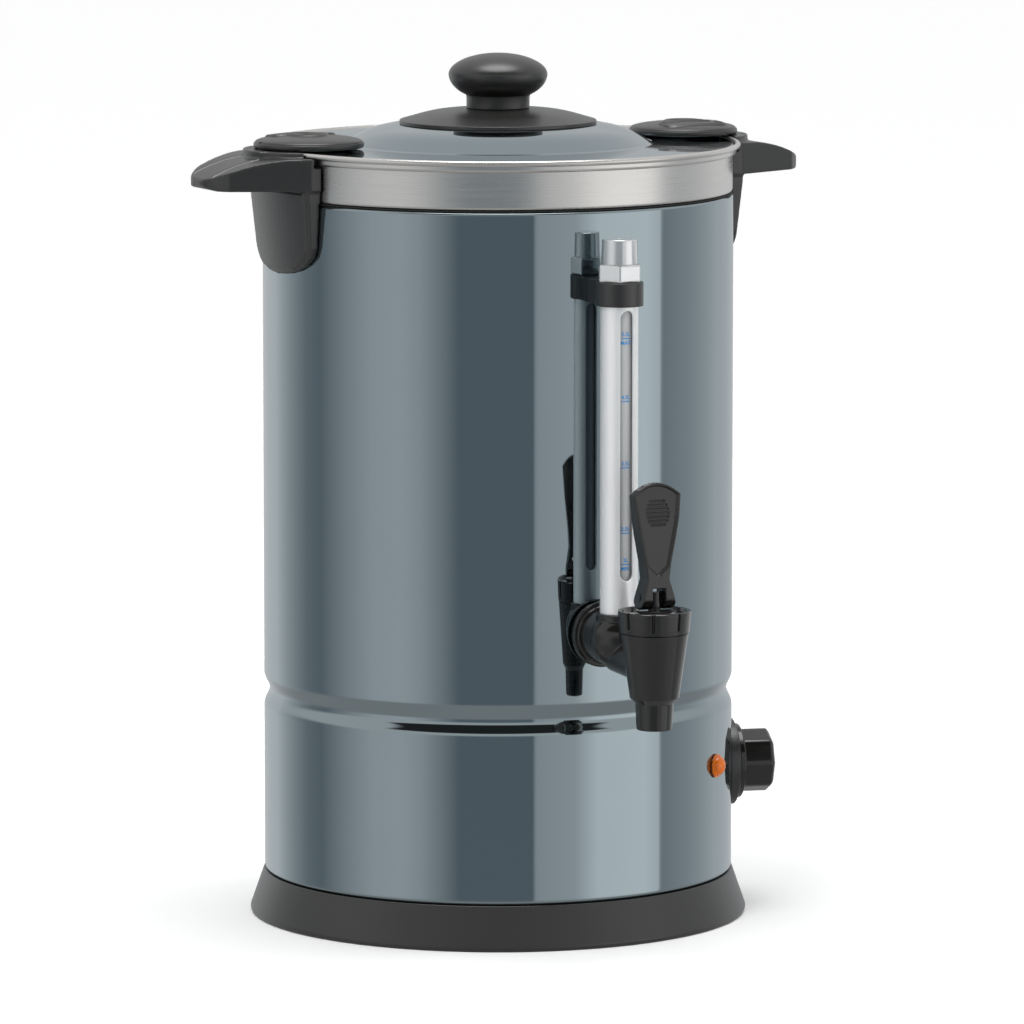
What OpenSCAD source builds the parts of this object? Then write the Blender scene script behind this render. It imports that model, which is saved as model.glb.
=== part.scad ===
// Hot water urn with a painted steel jacket, a stainless pot, a sight gauge and a lever tap.
// Millimetres. +Z is up and z = 0 is the surface the urn stands on. The vertical axis of the
// pot is the Z axis, the tap points along -Y and the two handles lie along +X and -X.

/* [Body] */
// Outer radius of the painted jacket
jacket_r = 112; // [100:1:135]
// Height of the jacket from the base ring to its top edge
jacket_h = 324.7; // [280:0.1:400]
// Thickness of the jacket sheet
jacket_t = 0.8; // [0.6:0.1:1.2]
// Depth of the stiffening groove rolled round the jacket
groove_depth = 2.6; // [1:0.1:4]
// Height of the base ring
base_h = 20.8; // [18:0.1:28]
// How far the base ring flares out past the jacket
base_flare = 7; // [4:0.5:12]

/* [Pot] */
// Air gap between the jacket and the pot wall
wall_gap = 9.1; // [7:0.1:12]
// Thickness of the pot sheet
pot_t = 0.8; // [0.6:0.1:1.2]
// Height of the electrical space under the pot
room_h = 102; // [94:1:125]
// Radius of the bend between the pot floor and its wall
pot_bend = 6; // [3:0.5:10]
// Height of the bare steel band above the jacket
band_h = 17.7; // [14:0.1:26]
// Radius of the rolled bead round the rim
bead_r = 1.4; // [1:0.1:2]

/* [Lid] */
// Radius where the flat flange of the lid turns up into its dome
crease_r = 73; // [66:0.5:78]
// Radius of the flat top of the lid
plateau_r = 49; // [47:0.5:56]
// Height of the dome above the flange
dome_h = 9; // [6:0.5:14]
// Thickness of the lid sheet
lid_t = 0.8; // [0.6:0.1:1.2]
// Radius of the plastic disc under the lid knob
disc_r = 46.8; // [40:0.2:47]
// Largest radius of the lid knob
knob_r = 23.5; // [18:0.5:30]
// Height of the lid knob above its neck
knob_h = 26.2; // [18:0.1:30]

/* [Handles] */
// How far the tip of the grip stands out from the jacket
grip_reach = 44; // [36:1:50]
// Half of the width of a handle at the jacket
handle_w = 34.7; // [30:0.1:38]
// Half of the width of the grip near its tip
tip_w = 19.7; // [16:0.1:26]
// Thickness of the grip where it leaves the jacket
grip_t = 15.2; // [14:0.1:22]
// Height of the bracket below the grip
bracket_h = 41; // [30:1:50]
// Radius of the swivelling lid lock
lock_r = 26; // [22:0.5:28]
// Distance from the lock centre to its pivot
lock_arm = 22.6; // [19:0.1:24]
// Radius of the lock's pivot post
post_r = 3; // [2.5:0.1:3.2]

/* [Tap] */
// Distance from the jacket to the gauge axis
gauge_out = 20; // [19:0.5:30]
// Distance from the gauge axis to the tap axis
tap_out = 37.5; // [36:0.5:46]
// Height of the tap shank above the pot floor
shank_up = 25.4; // [22:0.2:36]
// Radius of the tap shank
shank_r = 8; // [7:0.1:9]
// Radius of the water passages
passage_r = 4; // [3.5:0.1:4.5]
// Radius of the tap collar at its top
collar_r = 17; // [16:0.1:20]
// Radius of the valve stem
stem_r = 3; // [2.5:0.1:3.5]
// Height of the lever above the collar
lever_h = 59; // [50:1:80]
// How far the stem lifts when the lever is pulled
stem_lift = 4; // [3:0.5:5]

/* [Sight gauge] */
// Outer radius of the gauge sleeve
sleeve_r = 8.8; // [8.4:0.1:9.5]
// Height of the gauge sleeve
sleeve_h = 143.2; // [120:0.1:170]
// Width of the window cut in the sleeve
window_w = 7; // [4:0.1:8]
// Outer radius of the clear gauge tube
tube_r = 6.6; // [5:0.1:7]

/* [Controls] */
// Direction of the thermostat knob round the urn, from the +X handle
control_angle = -13; // [-30:1:10]
// Height of the thermostat knob above the base ring
control_up = 46.8; // [36:0.2:60]
// Corner radius of the eight-sided thermostat knob
dial_r = 15.5; // [12:0.5:20]
// Length of the thermostat knob
dial_l = 18; // [12:0.5:24]
// Direction of the indicator lamp round the urn
lamp_angle = -48; // [-60:1:-42]

/* [Fits] */
// Radial clearance of a part that turns or slides in another
run_gap = 0.05; // [0.03:0.01:0.09]
// Clearance between faces of parts that move past each other
face_gap = 0.3; // [0.2:0.05:0.6]
// Clearance round a fixed part in its hole
fix_gap = 0.1; // [0.05:0.05:0.2]

/* [Hidden] */
$fn = 96;

// Heights
jacket_top = base_h + jacket_h;
floor_z = base_h + room_h;
gasket_t = 0.8;
shoulder_z = jacket_top + gasket_t;
ledge_z = shoulder_z + band_h;
bead_z = ledge_z + 4.2;
rim_top = bead_z + bead_r;
flange_z = rim_top - 0.8;
groove_z = floor_z - 14.8;
shank_z = floor_z + shank_up;
control_z = base_h + control_up;
lamp_z = control_z + 8.5;

// Radii
pot_r = jacket_r - jacket_t - wall_gap;
band_r = jacket_r - 0.4;
lip_r = band_r + 1.7;
bead_c = lip_r + 0.6;
notch_r = bead_c + bead_r + 0.45;
lid_r = lip_r - pot_t - 0.5;
base_r = jacket_r + base_flare;

// Tap stations, measured outward from the Z axis
gauge_x = jacket_r + gauge_out;
tap_x = gauge_x + tap_out;
gasket_w = 2;
elbow_back = jacket_r + gasket_w;
nozzle_z = shank_z - 37.2;
seat_z = shank_z - 17.2;
cone_top = shank_z + 7.6;
collar_top = cone_top + 10.6;
pin_z = collar_top + 5.9;
pin_r = 1.5;
boss_top = collar_top + 0.2;
cam_r = pin_z - boss_top - face_gap;
elbow_r = 12;
sleeve_z = shank_z + elbow_r;
bracket_t = 11.1;
// A short jacket shortens the gauge, so that its bracket stays on the painted shell.
sleeve_top = min(sleeve_z + sleeve_h, jacket_top - bracket_t - 5);
nut_h = 8.3;
cap_h = 11.5;

black = [0.12, 0.12, 0.12];
paint = [0.46, 0.54, 0.57];
steel = [0.78, 0.78, 0.77];

// ---------------------------------------------------------------- helpers

// Turns a part drawn along +X so that it points in a direction round the urn.
module around(angle) {
    rotate([0, 0, angle])
        children();
}

// A cylinder lying along +X from x = a to x = b, with its axis at height z.
module rod_x(r, a, b, z = 0, sides = 96) {
    translate([a, 0, z])
        rotate([0, 90, 0])
            cylinder(r = r, h = b - a, $fn = sides);
}

// A ring standing along Z.
module ring(outer, inner, z0, z1) {
    difference() {
        translate([0, 0, z0])
            cylinder(r = outer, h = z1 - z0);
        translate([0, 0, z0 - 1])
            cylinder(r = inner, h = z1 - z0 + 2);
    }
}

// A washer lying along +X.
module washer_x(outer, inner, a, b, z) {
    difference() {
        rod_x(outer, a, b, z);
        rod_x(inner, a - 1, b + 1, z);
    }
}

// A pan-head screw whose head rests on z = 0 and whose shank runs up to z = length.
module screw_up(shank, length, head, head_h) {
    cylinder(r = shank, h = length, $fn = 48);
    difference() {
        translate([0, 0, -head_h])
            cylinder(r = head, h = head_h, $fn = 48);
        for (turn = [0, 90])
            rotate([0, 0, turn])
                translate([-head * 0.6, -0.4, -head_h - 0.1])
                    cube([head * 1.2, 0.8, 0.9]);
    }
}

// Points of a quarter arc from angle a to angle b.
function arc(cx, cz, r, a, b, n = 8) =
    [for (i = [0 : n]) let (t = a + (b - a) * i / n) [cx + r * cos(t), cz + r * sin(t)]];

function unit(v) = v / norm(v);

// A point of the smooth curve through p1 and p2.
function spline_point(p0, p1, p2, p3, t) =
    0.5 * (2 * p1 + (p2 - p0) * t + (2 * p0 - 5 * p1 + 4 * p2 - p3) * t * t
        + (3 * p1 - p0 - 3 * p2 + p3) * t * t * t);

function smooth_path(p, n = 6) =
    let (last = len(p) - 1, q = concat([2 * p[0] - p[1]], p, [2 * p[last] - p[last - 1]]))
    concat([for (i = [0 : last - 1]) for (k = [0 : n - 1])
        spline_point(q[i], q[i + 1], q[i + 2], q[i + 3], k / n)], [p[last]]);

// Lies a piece of wire along a smooth curve through a list of points.
module wire(points, r) {
    path = smooth_path(points);
    last = len(path) - 1;
    sides = 8;
    lay = [0.21, 0.37, 0.9];
    rings = [for (i = [0 : last])
        let (t = unit(path[min(i + 1, last)] - path[max(i - 1, 0)]),
            u = unit(cross(t, lay)), v = cross(t, u))
        for (k = [0 : sides - 1])
            path[i] + r * (cos(360 * k / sides) * u + sin(360 * k / sides) * v)];
    walls = [for (i = [0 : last - 1]) for (k = [0 : sides - 1])
        [i * sides + k, (i + 1) * sides + k,
         (i + 1) * sides + (k + 1) % sides, i * sides + (k + 1) % sides]];
    ends = [[for (k = [0 : sides - 1]) k],
            [for (k = [sides - 1 : -1 : 0]) last * sides + k]];
    polyhedron(rings, concat(walls, ends));
}

// ---------------------------------------------------------------- base

foot_r = 4.2;
foot_h = 2.2;
foot_ring = base_r - 6.2;
ledge_in = jacket_r - 12;
cover_z = 6.8;
cover_t = 1.2;
cover_screw_r = jacket_r - 8;

// Moulded ring that the jacket stands in; its flat underside is what the urn rests on.
module base_ring() {
    color(black)
    difference() {
        union() {
            rotate_extrude()
                polygon([
                    [jacket_r + 0.4, base_h], [base_r, 2.2], [base_r - 0.4, 0.8], [base_r - 1.4, 0],
                    [jacket_r - 3.8, 0], [jacket_r - 3.8, cover_z + cover_t],
                    [ledge_in, cover_z + cover_t], [ledge_in, 11], [jacket_r - 4.2, 11],
                    [jacket_r - 4.2, base_h + 6.2], [jacket_r - 2, base_h + 6.2],
                    [jacket_r - 2, base_h]
                ]);
            for (turn = [45 : 90 : 315])
                around(turn)
                    translate([cover_screw_r, 0, cover_z + cover_t + 1])
                        cylinder(r = 3.6, h = 8);
        }
        for (turn = [0 : 90 : 270])
            around(turn)
                translate([foot_ring, 0, -1])
                    cylinder(r = foot_r + fix_gap, h = foot_h + 1);
        for (turn = [45 : 90 : 315])
            around(turn)
                translate([cover_screw_r, 0, cover_z])
                    cylinder(r = 1.55, h = 9);
    }
}

module rubber_feet() {
    color([0.2, 0.2, 0.2])
    for (turn = [0 : 90 : 270])
        around(turn)
            translate([foot_ring, 0, 0])
                cylinder(r = foot_r, h = foot_h);
}

// Pressed steel plate that closes the base, with vent slots and a raised centre.
module bottom_cover() {
    color(steel)
    difference() {
        translate([0, 0, cover_z])
            cylinder(r = jacket_r - 4.2, h = cover_t);
        translate([0, 0, cover_z - 1])
            cylinder(r = 3.3, h = 4);
        for (turn = [45 : 90 : 315])
            around(turn)
                translate([cover_screw_r, 0, cover_z - 1])
                    cylinder(r = 1.7, h = 4);
        for (turn = [0 : 30 : 330])
            around(turn)
                translate([56, -2, cover_z - 1])
                    cube([22, 4, 4]);
    }
}

module cover_screws() {
    color("silver")
    for (turn = [45 : 90 : 315])
        around(turn)
            translate([cover_screw_r, 0, cover_z])
                screw_up(1.5, 8, 2.9, 1.8);
}

rod_r = 3;
plate_t = 6;
// Centre rod welded to the heater plate; its nut pulls pot, jacket and base together.
module tie_rod() {
    color("silver")
    translate([0, 0, 1])
        cylinder(r = rod_r, h = floor_z - plate_t - 1);
}

module tie_nut() {
    color("silver")
    difference() {
        translate([0, 0, cover_z - 4.6])
            union() {
                cylinder(r = 5.8, h = 4, $fn = 6);
                translate([0, 0, 4])
                    cylinder(r = 8, h = 0.6);
            }
        cylinder(r = rod_r + fix_gap, h = cover_z + 1);
    }
}

// ---------------------------------------------------------------- jacket and pot

groove_half = 8;
groove_steps = 12;
curl = 2.4;
hole_gap = 0.2;
bracket_z = sleeve_top + bracket_t / 2;

// Radius of the jacket's outer face inside the groove, a cosine dip.
function groove_r(t, inset) = jacket_r - inset - groove_depth * (1 + cos(180 * t)) / 2;
// The jacket's face from the bottom curl to the top edge, moved in by inset.
function jacket_face(inset) = concat(
    [for (i = [0 : 4]) let (a = -60 + 15 * i)
        [jacket_r - curl + (curl - inset) * cos(a), base_h + 2.2 + (curl - inset) * sin(a)]],
    [for (i = [-groove_steps : groove_steps])
        [groove_r(i / groove_steps, inset), groove_z + groove_half * i / groove_steps]],
    arc(jacket_r - 1.6, jacket_top - 1.6, 1.6 - inset, 0, 90, 4)
);
function reversed(list) = [for (i = [len(list) - 1 : -1 : 0]) list[i]];

// Painted outer shell: one rolled sheet with a groove, a curled foot and an inward top flange.
module jacket() {
    top_in = pot_r + 2;
    color(paint)
    difference() {
        rotate_extrude($fn = 180)
            polygon(concat(
                jacket_face(0),
                [[top_in, jacket_top], [top_in, jacket_top - jacket_t]],
                reversed(jacket_face(jacket_t))
            ));
        around(-90) {
            rod_x(shank_r + hole_gap, jacket_r - 10, jacket_r + 10, shank_z);
            rod_x(1.7, jacket_r - 10, jacket_r + 10, bracket_z);
        }
        around(control_angle) {
            rod_x(6.2, jacket_r - 10, jacket_r + 10, control_z);
            for (side = [-1, 1])
                rod_x(2.2, jacket_r - 10, jacket_r + 10, control_z + side * 14);
        }
        around(lamp_angle)
            rod_x(4 + hole_gap, jacket_r - 10, jacket_r + 10, lamp_z);
        around(90)
            rod_x(inlet_r, jacket_r - 10, jacket_r + 10, inlet_z);
    }
}

screw_turn = 9.5;
screw_z = shoulder_z + 9.7;

// One side of the pot sheet, from the floor to the ledge under the lid.
function pot_face(inset) = concat(
    [[0, floor_z + inset]],
    arc(pot_r - pot_bend, floor_z + pot_bend, pot_bend - inset, -90, 0),
    [
        [pot_r - inset, shoulder_z + inset], [band_r - inset, shoulder_z + inset],
        [band_r - inset, ledge_z + inset], [lip_r - inset, ledge_z + inset],
        [lip_r - inset, bead_z]
    ]
);

// Stainless pot: a drawn can whose neck steps out over the jacket and ends in a rolled bead.
module inner_pot() {
    color(steel)
    difference() {
        rotate_extrude($fn = 180)
            union() {
                polygon(concat(pot_face(0), reversed(pot_face(pot_t))));
                translate([bead_c, bead_z])
                    circle(r = bead_r, $fn = 32);
            }
        around(-90)
            rod_x(shank_r + hole_gap, pot_r - 10, pot_r + 5, shank_z);
        for (end = [0, 180])
            for (turn = [-screw_turn, screw_turn])
                around(end + turn)
                    rod_x(2.2, band_r - 10, band_r + 5, screw_z);
    }
}

module rim_gasket() {
    color([0.08, 0.08, 0.08])
        ring(band_r - 2.2, pot_r + 0.6, jacket_top, shoulder_z);
}

// ---------------------------------------------------------------- heating

element_ring = 55;
element_gap = 15;
element_r = 3.6;
element_z = floor_z - plate_t - element_r;
pin_drop = 20;

module heater_plate() {
    color([0.7, 0.7, 0.68])
    translate([0, 0, floor_z - plate_t])
        cylinder(r = 72, h = plate_t);
}

// Sheathed ring element under the plate, with its two cold ends turned down.
module heating_element() {
    color([0.35, 0.33, 0.3]) {
        translate([0, 0, element_z])
            rotate([0, 0, -90 + element_gap])
                rotate_extrude(angle = 360 - 2 * element_gap)
                    translate([element_ring, 0])
                        circle(r = element_r, $fn = 48);
        for (end = [-1, 1])
            around(-90 + end * element_gap) {
                translate([element_ring, 0, element_z - pin_drop])
                    cylinder(r = element_r + 0.3, h = pin_drop + element_r - 0.6);
                translate([element_ring, 0, element_z - pin_drop - 8])
                    cylinder(r = 1.2, h = 9);
            }
    }
}

cutout_x = 26;
// Resettable dry-boil cut-out clamped against the heater plate.
module thermal_cutout() {
    color([0.75, 0.72, 0.6])
    translate([cutout_x, 0, floor_z - plate_t]) {
        translate([0, 0, -6])
            cylinder(r = 8, h = 6);
        translate([0, 0, -12])
            cylinder(r = 6.5, h = 6);
        for (side = [-1, 1])
            translate([-2, side * 4.5 - 0.4, -20])
                cube([4, 0.8, 8]);
    }
}

stat_front = jacket_r - 4;
stat_depth = 24;
bush_front = jacket_r - 1.2;
bezel_face = jacket_r + 3.5;
shaft_back = stat_front - 10;
dial_back = bezel_face + 0.5;

// Capillary thermostat behind the jacket, with a bush round its shaft.
module thermostat_body() {
    color([0.85, 0.84, 0.8])
    around(control_angle)
    difference() {
        union() {
            translate([stat_front - stat_depth, -16, control_z - 18])
                cube([stat_depth, 32, 36]);
            rod_x(6, stat_front - 1, bush_front, control_z);
        }
        rod_x(stem_r + run_gap, shaft_back - 1, bush_front + 1, control_z);
        for (side = [-1, 1])
            rod_x(2.1, stat_front - 8, stat_front + 1, control_z + side * 14);
    }
}

module thermostat_screws() {
    color("silver")
    around(control_angle)
    for (side = [-1, 1])
        translate([bezel_face - 1.2, 0, control_z + side * 14])
            rotate([0, -90, 0])
                screw_up(2, bezel_face - stat_front + 6, 3.4, 1.2);
}

shaft_front = dial_back + dial_l - 5;
module thermostat_shaft() {
    color("silver")
    around(control_angle)
    difference() {
        rod_x(stem_r, shaft_back, shaft_front, control_z);
        translate([dial_back + 2, -5, control_z + stem_r - 0.9])
            cube([30, 10, 5]);
    }
}

// Eight-sided grip with a corner at the top, a round skirt and a chamfered front.
module control_knob() {
    skirt_t = 3;
    bevel = 2;
    side_r = dial_r * cos(22.5);
    color(black)
    around(control_angle)
    difference() {
        union() {
            translate([dial_back + skirt_t, 0, control_z])
                rotate([0, 90, 0])
                    cylinder(r = dial_r, h = dial_l - skirt_t - bevel, $fn = 8);
            intersection() {
                translate([dial_back + skirt_t, 0, control_z])
                    rotate([0, 90, 0])
                        cylinder(r = dial_r, h = dial_l - skirt_t, $fn = 8);
                translate([dial_back, 0, control_z])
                    rotate([0, 90, 0])
                        translate([0, 0, dial_l - bevel])
                            cylinder(r1 = dial_r + 0.2, r2 = side_r - bevel * 0.6, h = bevel);
            }
            rod_x(dial_r + 2.5, dial_back, dial_back + skirt_t, control_z);
        }
        difference() {
            rod_x(stem_r + run_gap, dial_back - 1, shaft_front + 0.4, control_z);
            translate([dial_back + 2, -5, control_z + stem_r - 0.8])
                cube([30, 10, 5]);
        }
        difference() {
            rod_x(dial_r - 3.5, dial_back - 1, dial_back + 9, control_z);
            rod_x(6.5, dial_back - 2, dial_back + 10, control_z);
        }
    }
}

// Round escutcheon saddled on the jacket behind the knob.
module control_bezel() {
    color(black)
    around(control_angle)
    difference() {
        rod_x(dial_r + 5.5, jacket_r - 6, bezel_face, control_z);
        translate([0, 0, control_z - 50])
            cylinder(r = jacket_r + fix_gap, h = 100, $fn = 180);
        rod_x(7.5, jacket_r - 10, bezel_face + 1, control_z);
        for (side = [-1, 1]) {
            rod_x(2.2, jacket_r - 10, bezel_face + 1, control_z + side * 14);
            rod_x(3.7, bezel_face - 1.2, bezel_face + 1, control_z + side * 14);
        }
    }
}

// Copper capillary from the thermostat to the bulb clipped under the heater plate.
module sensor_capillary() {
    stat_x = (stat_front - stat_depth) * cos(control_angle);
    stat_y = (stat_front - stat_depth) * sin(control_angle);
    bulb_y = -38;
    bulb_z = floor_z - plate_t - 3.2;
    color([0.72, 0.45, 0.2]) {
        wire([
            [stat_x - 0.6, stat_y, control_z + 10], [stat_x - 10, stat_y, control_z + 10],
            [stat_x - 18, stat_y - 4, bulb_z - 14], [36, bulb_y, bulb_z - 9], [26.4, bulb_y, bulb_z]
        ], 0.9);
        translate([-28, bulb_y, bulb_z])
            rotate([0, 90, 0])
                cylinder(r = 3, h = 54);
    }
}

// Amber dome of the heating lamp.
module lamp_lens() {
    color([0.95, 0.5, 0.08])
    around(lamp_angle)
    translate([jacket_r, 0, lamp_z])
        rotate([0, 90, 0])
            rotate_extrude()
                polygon(concat([[3, -4], [4, -4], [4, 0.3], [5.6, 0.3], [5.6, 1.4], [4.7, 1.4]],
                    [for (i = [1 : 8]) let (a = 11.25 * i) [4.7 * cos(a), 1.4 + 3.4 * sin(a)]],
                    [[0, 1.9], [3, 1.9]]));
}

module lamp_holder() {
    color([0.9, 0.9, 0.88])
    around(lamp_angle) {
        rod_x(5.6, jacket_r - 20, jacket_r - 4, lamp_z);
        for (side = [-1, 1])
            translate([jacket_r - 27, side * 2.5 - 0.4, lamp_z - 1.5])
                cube([8, 0.8, 3]);
    }
}

block_y = 52;
block_z = cover_z + cover_t;
// Screw terminal block on the base cover where the mains and the loads meet.
module terminal_block() {
    color([0.92, 0.91, 0.86])
    difference() {
        translate([-22, block_y - 9, block_z])
            cube([44, 18, 15]);
        for (pole = [-15, -5, 5, 15]) {
            translate([pole, block_y, block_z + 8])
                cylinder(r = 2.4, h = 10, $fn = 32);
            translate([pole, block_y - 10, block_z + 6])
                rotate([-90, 0, 0])
                    cylinder(r = 1.9, h = 7, $fn = 32);
        }
    }
}

// Internal leads: terminal block to heater ends, cut-out, thermostat and lamp.
module wiring() {
    lead_r = 1.1;
    lead_z = block_z + 6;
    front = block_y - 9.6;
    turn_z = 60;
    cold_a = -90 + element_gap;
    cold_x = element_ring * cos(cold_a);
    cold_y = element_ring * sin(cold_a);
    cold_z = element_z - pin_drop - 8 - lead_r - 0.2;
    stat_x = (stat_front - stat_depth - 3) * cos(control_angle) - 6;
    stat_y = (stat_front - stat_depth - 3) * sin(control_angle);
    lamp_x = (jacket_r - 29) * cos(lamp_angle);
    lamp_y = (jacket_r - 29) * sin(lamp_angle);
    color([0.7, 0.3, 0.25])
    wire([[-15, front, lead_z], [-15, front - 8, lead_z], [-24, 20, turn_z],
        [-cold_x, cold_y, cold_z - 12], [-cold_x, cold_y, cold_z]], lead_r);
    color([0.25, 0.35, 0.65])
    wire([[-5, front, lead_z], [-5, front - 8, lead_z], [10, 18, turn_z],
        [cold_x, cold_y, cold_z - 12], [cold_x, cold_y, cold_z]], lead_r);
    color([0.3, 0.3, 0.3])
    wire([[5, front, lead_z], [5, front - 8, lead_z], [24, 18, turn_z - 8],
        [cutout_x, 6, floor_z - plate_t - 30], [cutout_x, 4.5, floor_z - plate_t - 21.2]], lead_r);
    color([0.6, 0.6, 0.3])
    wire([[15, front, lead_z], [15, front - 8, lead_z], [stat_x - 8, 10, turn_z - 20],
        [stat_x - 6, stat_y, control_z - 10], [stat_x + 7.6, stat_y, control_z - 10]], lead_r);
    color([0.6, 0.6, 0.3])
    wire([[stat_x + 6, stat_y - 8, control_z], [stat_x - 6, stat_y - 12, control_z],
        [lamp_x - 6, lamp_y + 8, lamp_z], [lamp_x, lamp_y, lamp_z]], lead_r);
}

inlet_r = 6.5;
inlet_z = base_h + 17;
inlet_bore = 4;
// Rubber grommet at the back where the mains lead enters.
module cord_inlet() {
    color([0.1, 0.1, 0.1])
    around(90)
    difference() {
        union() {
            rod_x(inlet_r - fix_gap, jacket_r - 4, jacket_r + 3, inlet_z);
            rod_x(9, jacket_r + fix_gap, jacket_r + 3, inlet_z);
            rod_x(8.4, jacket_r - 4.4, jacket_r - 1.4, inlet_z);
        }
        rod_x(inlet_bore, jacket_r - 10, jacket_r + 10, inlet_z);
    }
}

// ---------------------------------------------------------------- tap and gauge, drawn along +X

shank_in = pot_r - pot_t - 6.6;
spigot = 8;

// Threaded nipple that carries the tap through jacket and pot.
module tap_shank() {
    color(steel)
    around(-90)
    washer_x(shank_r, passage_r + 1, shank_in, elbow_back + spigot, shank_z);
}

module tank_nut() {
    color(steel)
    around(-90)
    difference() {
        rod_x(12.2, shank_in + 0.8, pot_r - pot_t - 2.7, shank_z, 6);
        rod_x(shank_r + fix_gap, shank_in, pot_r, shank_z);
    }
}

// Black rubber washers inside the pot and outside the jacket.
module shank_gaskets() {
    color([0.1, 0.1, 0.1])
    around(-90) {
        washer_x(12, shank_r + fix_gap, pot_r - pot_t - 2.7, pot_r - pot_t - 0.9, shank_z);
        washer_x(14, shank_r + fix_gap, jacket_r + 0.05, elbow_back, shank_z);
    }
}

// Sleeve that keeps the nut from drawing the jacket against the pot.
module shank_spacer() {
    color(steel)
    around(-90)
    washer_x(11, shank_r + fix_gap, pot_r + 0.05, jacket_r - jacket_t - 0.6, shank_z);
}

arm_z = shank_z - 7.4;
arm_r = 8.4;
arm_bore = passage_r - 0.4;
riser_r = passage_r + 0.6;
arm_drop = 3;

cone_foot = shank_z - 22.4;
cone_r0 = 10.6;
cone_r1 = collar_r - 1.7;

// Black moulding that feeds the gauge and carries the tap.
module tap_elbow() {
    boss_r = sleeve_r + 1.6;
    ball_r = elbow_r + 1.6;
    flange_r = elbow_r + 3.6;
    color(black)
    around(-90)
    difference() {
        union() {
            rod_x(flange_r, elbow_back, elbow_back + 2.5, shank_z);
            rod_x(ball_r - 0.4, elbow_back, gauge_x, shank_z);
            translate([gauge_x, 0, shank_z])
                sphere(r = ball_r);
            translate([gauge_x, 0, shank_z])
                cylinder(r = boss_r, h = sleeve_z - shank_z);
            translate([gauge_x, 0, arm_z])
                rotate([0, 90 + arm_drop, 0])
                    cylinder(r = arm_r, h = tap_out);
        }
        rod_x(shank_r + fix_gap, elbow_back - 1, elbow_back + spigot, shank_z);
        rod_x(passage_r, elbow_back, gauge_x + 1, shank_z);
        translate([gauge_x, 0, sleeve_z])
            cylinder(r = sleeve_r + fix_gap, h = 10);
        translate([gauge_x, 0, arm_z - 2])
            cylinder(r = riser_r, h = 30);
        translate([gauge_x, 0, shank_z + 5])
            cylinder(r = tube_r + fix_gap, h = 30);
        translate([gauge_x, 0, arm_z])
            rotate([0, 90 + arm_drop, 0])
                cylinder(r = arm_bore, h = tap_out);
        translate([tap_x, 0, cone_foot - 4])
            cylinder(r1 = cone_r0 - 0.6, r2 = cone_r1 + fix_gap, h = cone_top - cone_foot + 4);
    }
}

// Satin tube round the sight glass, with a round-ended window front and back.
module gauge_sleeve() {
    color([0.8, 0.81, 0.83])
    around(-90)
    translate([gauge_x, 0, 0])
    difference() {
        ring(sleeve_r, tube_r + 1.2, sleeve_z, sleeve_top + 2);
        for (end = [sleeve_z + 15.9 + window_w / 2, sleeve_top - 1.8 - window_w / 2])
            rod_x(window_w / 2, -20, 20, end);
        translate([-20, -window_w / 2, sleeve_z + 15.9 + window_w / 2])
            cube([40, window_w, sleeve_top - sleeve_z - 17.7 - window_w]);
    }
}

module gauge_tube() {
    color([0.9, 0.95, 0.97, 0.4])
    around(-90)
    translate([gauge_x, 0, 0])
        ring(tube_r, tube_r - 1, shank_z + 5.4, sleeve_top + bracket_t + 4);
}

// Rubber rings that seal the sight glass at its two ends.
module gauge_seals() {
    color([0.1, 0.1, 0.1])
    around(-90)
    translate([gauge_x, 0, 0]) {
        ring(tube_r + 1.1, tube_r + 0.05, sleeve_z + 0.1, sleeve_z + 3);
        ring(tube_r + 1.1, tube_r + 0.05, sleeve_top - 1, sleeve_top + 2);
    }
}

// Black stand-off that holds the top of the gauge to the jacket.
module gauge_bracket() {
    ring_r = sleeve_r + 2.3;
    web = 14;
    color(black)
    around(-90)
    difference() {
        union() {
            translate([gauge_x, 0, sleeve_top])
                cylinder(r = ring_r, h = bracket_t);
            translate([jacket_r - 4, -web / 2, sleeve_top])
                cube([gauge_out + 4, web, bracket_t]);
        }
        translate([0, 0, sleeve_top - 1])
            cylinder(r = jacket_r + fix_gap, h = bracket_t + 2, $fn = 180);
        translate([gauge_x, 0, sleeve_top - 1])
            cylinder(r = sleeve_r + fix_gap, h = 3.1);
        translate([gauge_x, 0, sleeve_top - 1])
            cylinder(r = tube_r + fix_gap, h = bracket_t + 2);
        rod_x(1.4, jacket_r - 1, jacket_r + 9, bracket_z);
    }
}

module bracket_screw() {
    color("silver")
    around(-90)
    translate([jacket_r - jacket_t - 0.1, 0, bracket_z])
        rotate([0, 90, 0])
            screw_up(1.4, 9, 3.4, 2);
}

// Hexagonal collar and vented cap that close the top of the gauge.
module gauge_nut() {
    z0 = sleeve_top + bracket_t;
    corner_r = sleeve_r + 2.2;
    color([0.8, 0.81, 0.83])
    around(-90)
    translate([gauge_x, 0, z0])
    difference() {
        intersection() {
            rotate([0, 0, -24])
                cylinder(r = corner_r, h = nut_h, $fn = 6);
            cylinder(r1 = corner_r - 0.8, r2 = corner_r + 3.2, h = nut_h);
            cylinder(r1 = corner_r + 3.2, r2 = corner_r - 0.8, h = nut_h);
        }
        translate([0, 0, -1])
            cylinder(r = tube_r + fix_gap, h = nut_h + 2);
    }
}

module gauge_cap() {
    z0 = sleeve_top + bracket_t + nut_h;
    color([0.8, 0.81, 0.83])
    around(-90)
    translate([gauge_x, 0, z0])
    difference() {
        rotate_extrude()
            polygon([[0, 0], [8.5, 0], [8.1, cap_h - 0.6], [7.5, cap_h], [0, cap_h]]);
        translate([0, 0, -1])
            cylinder(r = tube_r, h = cap_h - 3);
        cylinder(r = 1, h = cap_h + 1);
    }
}

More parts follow.
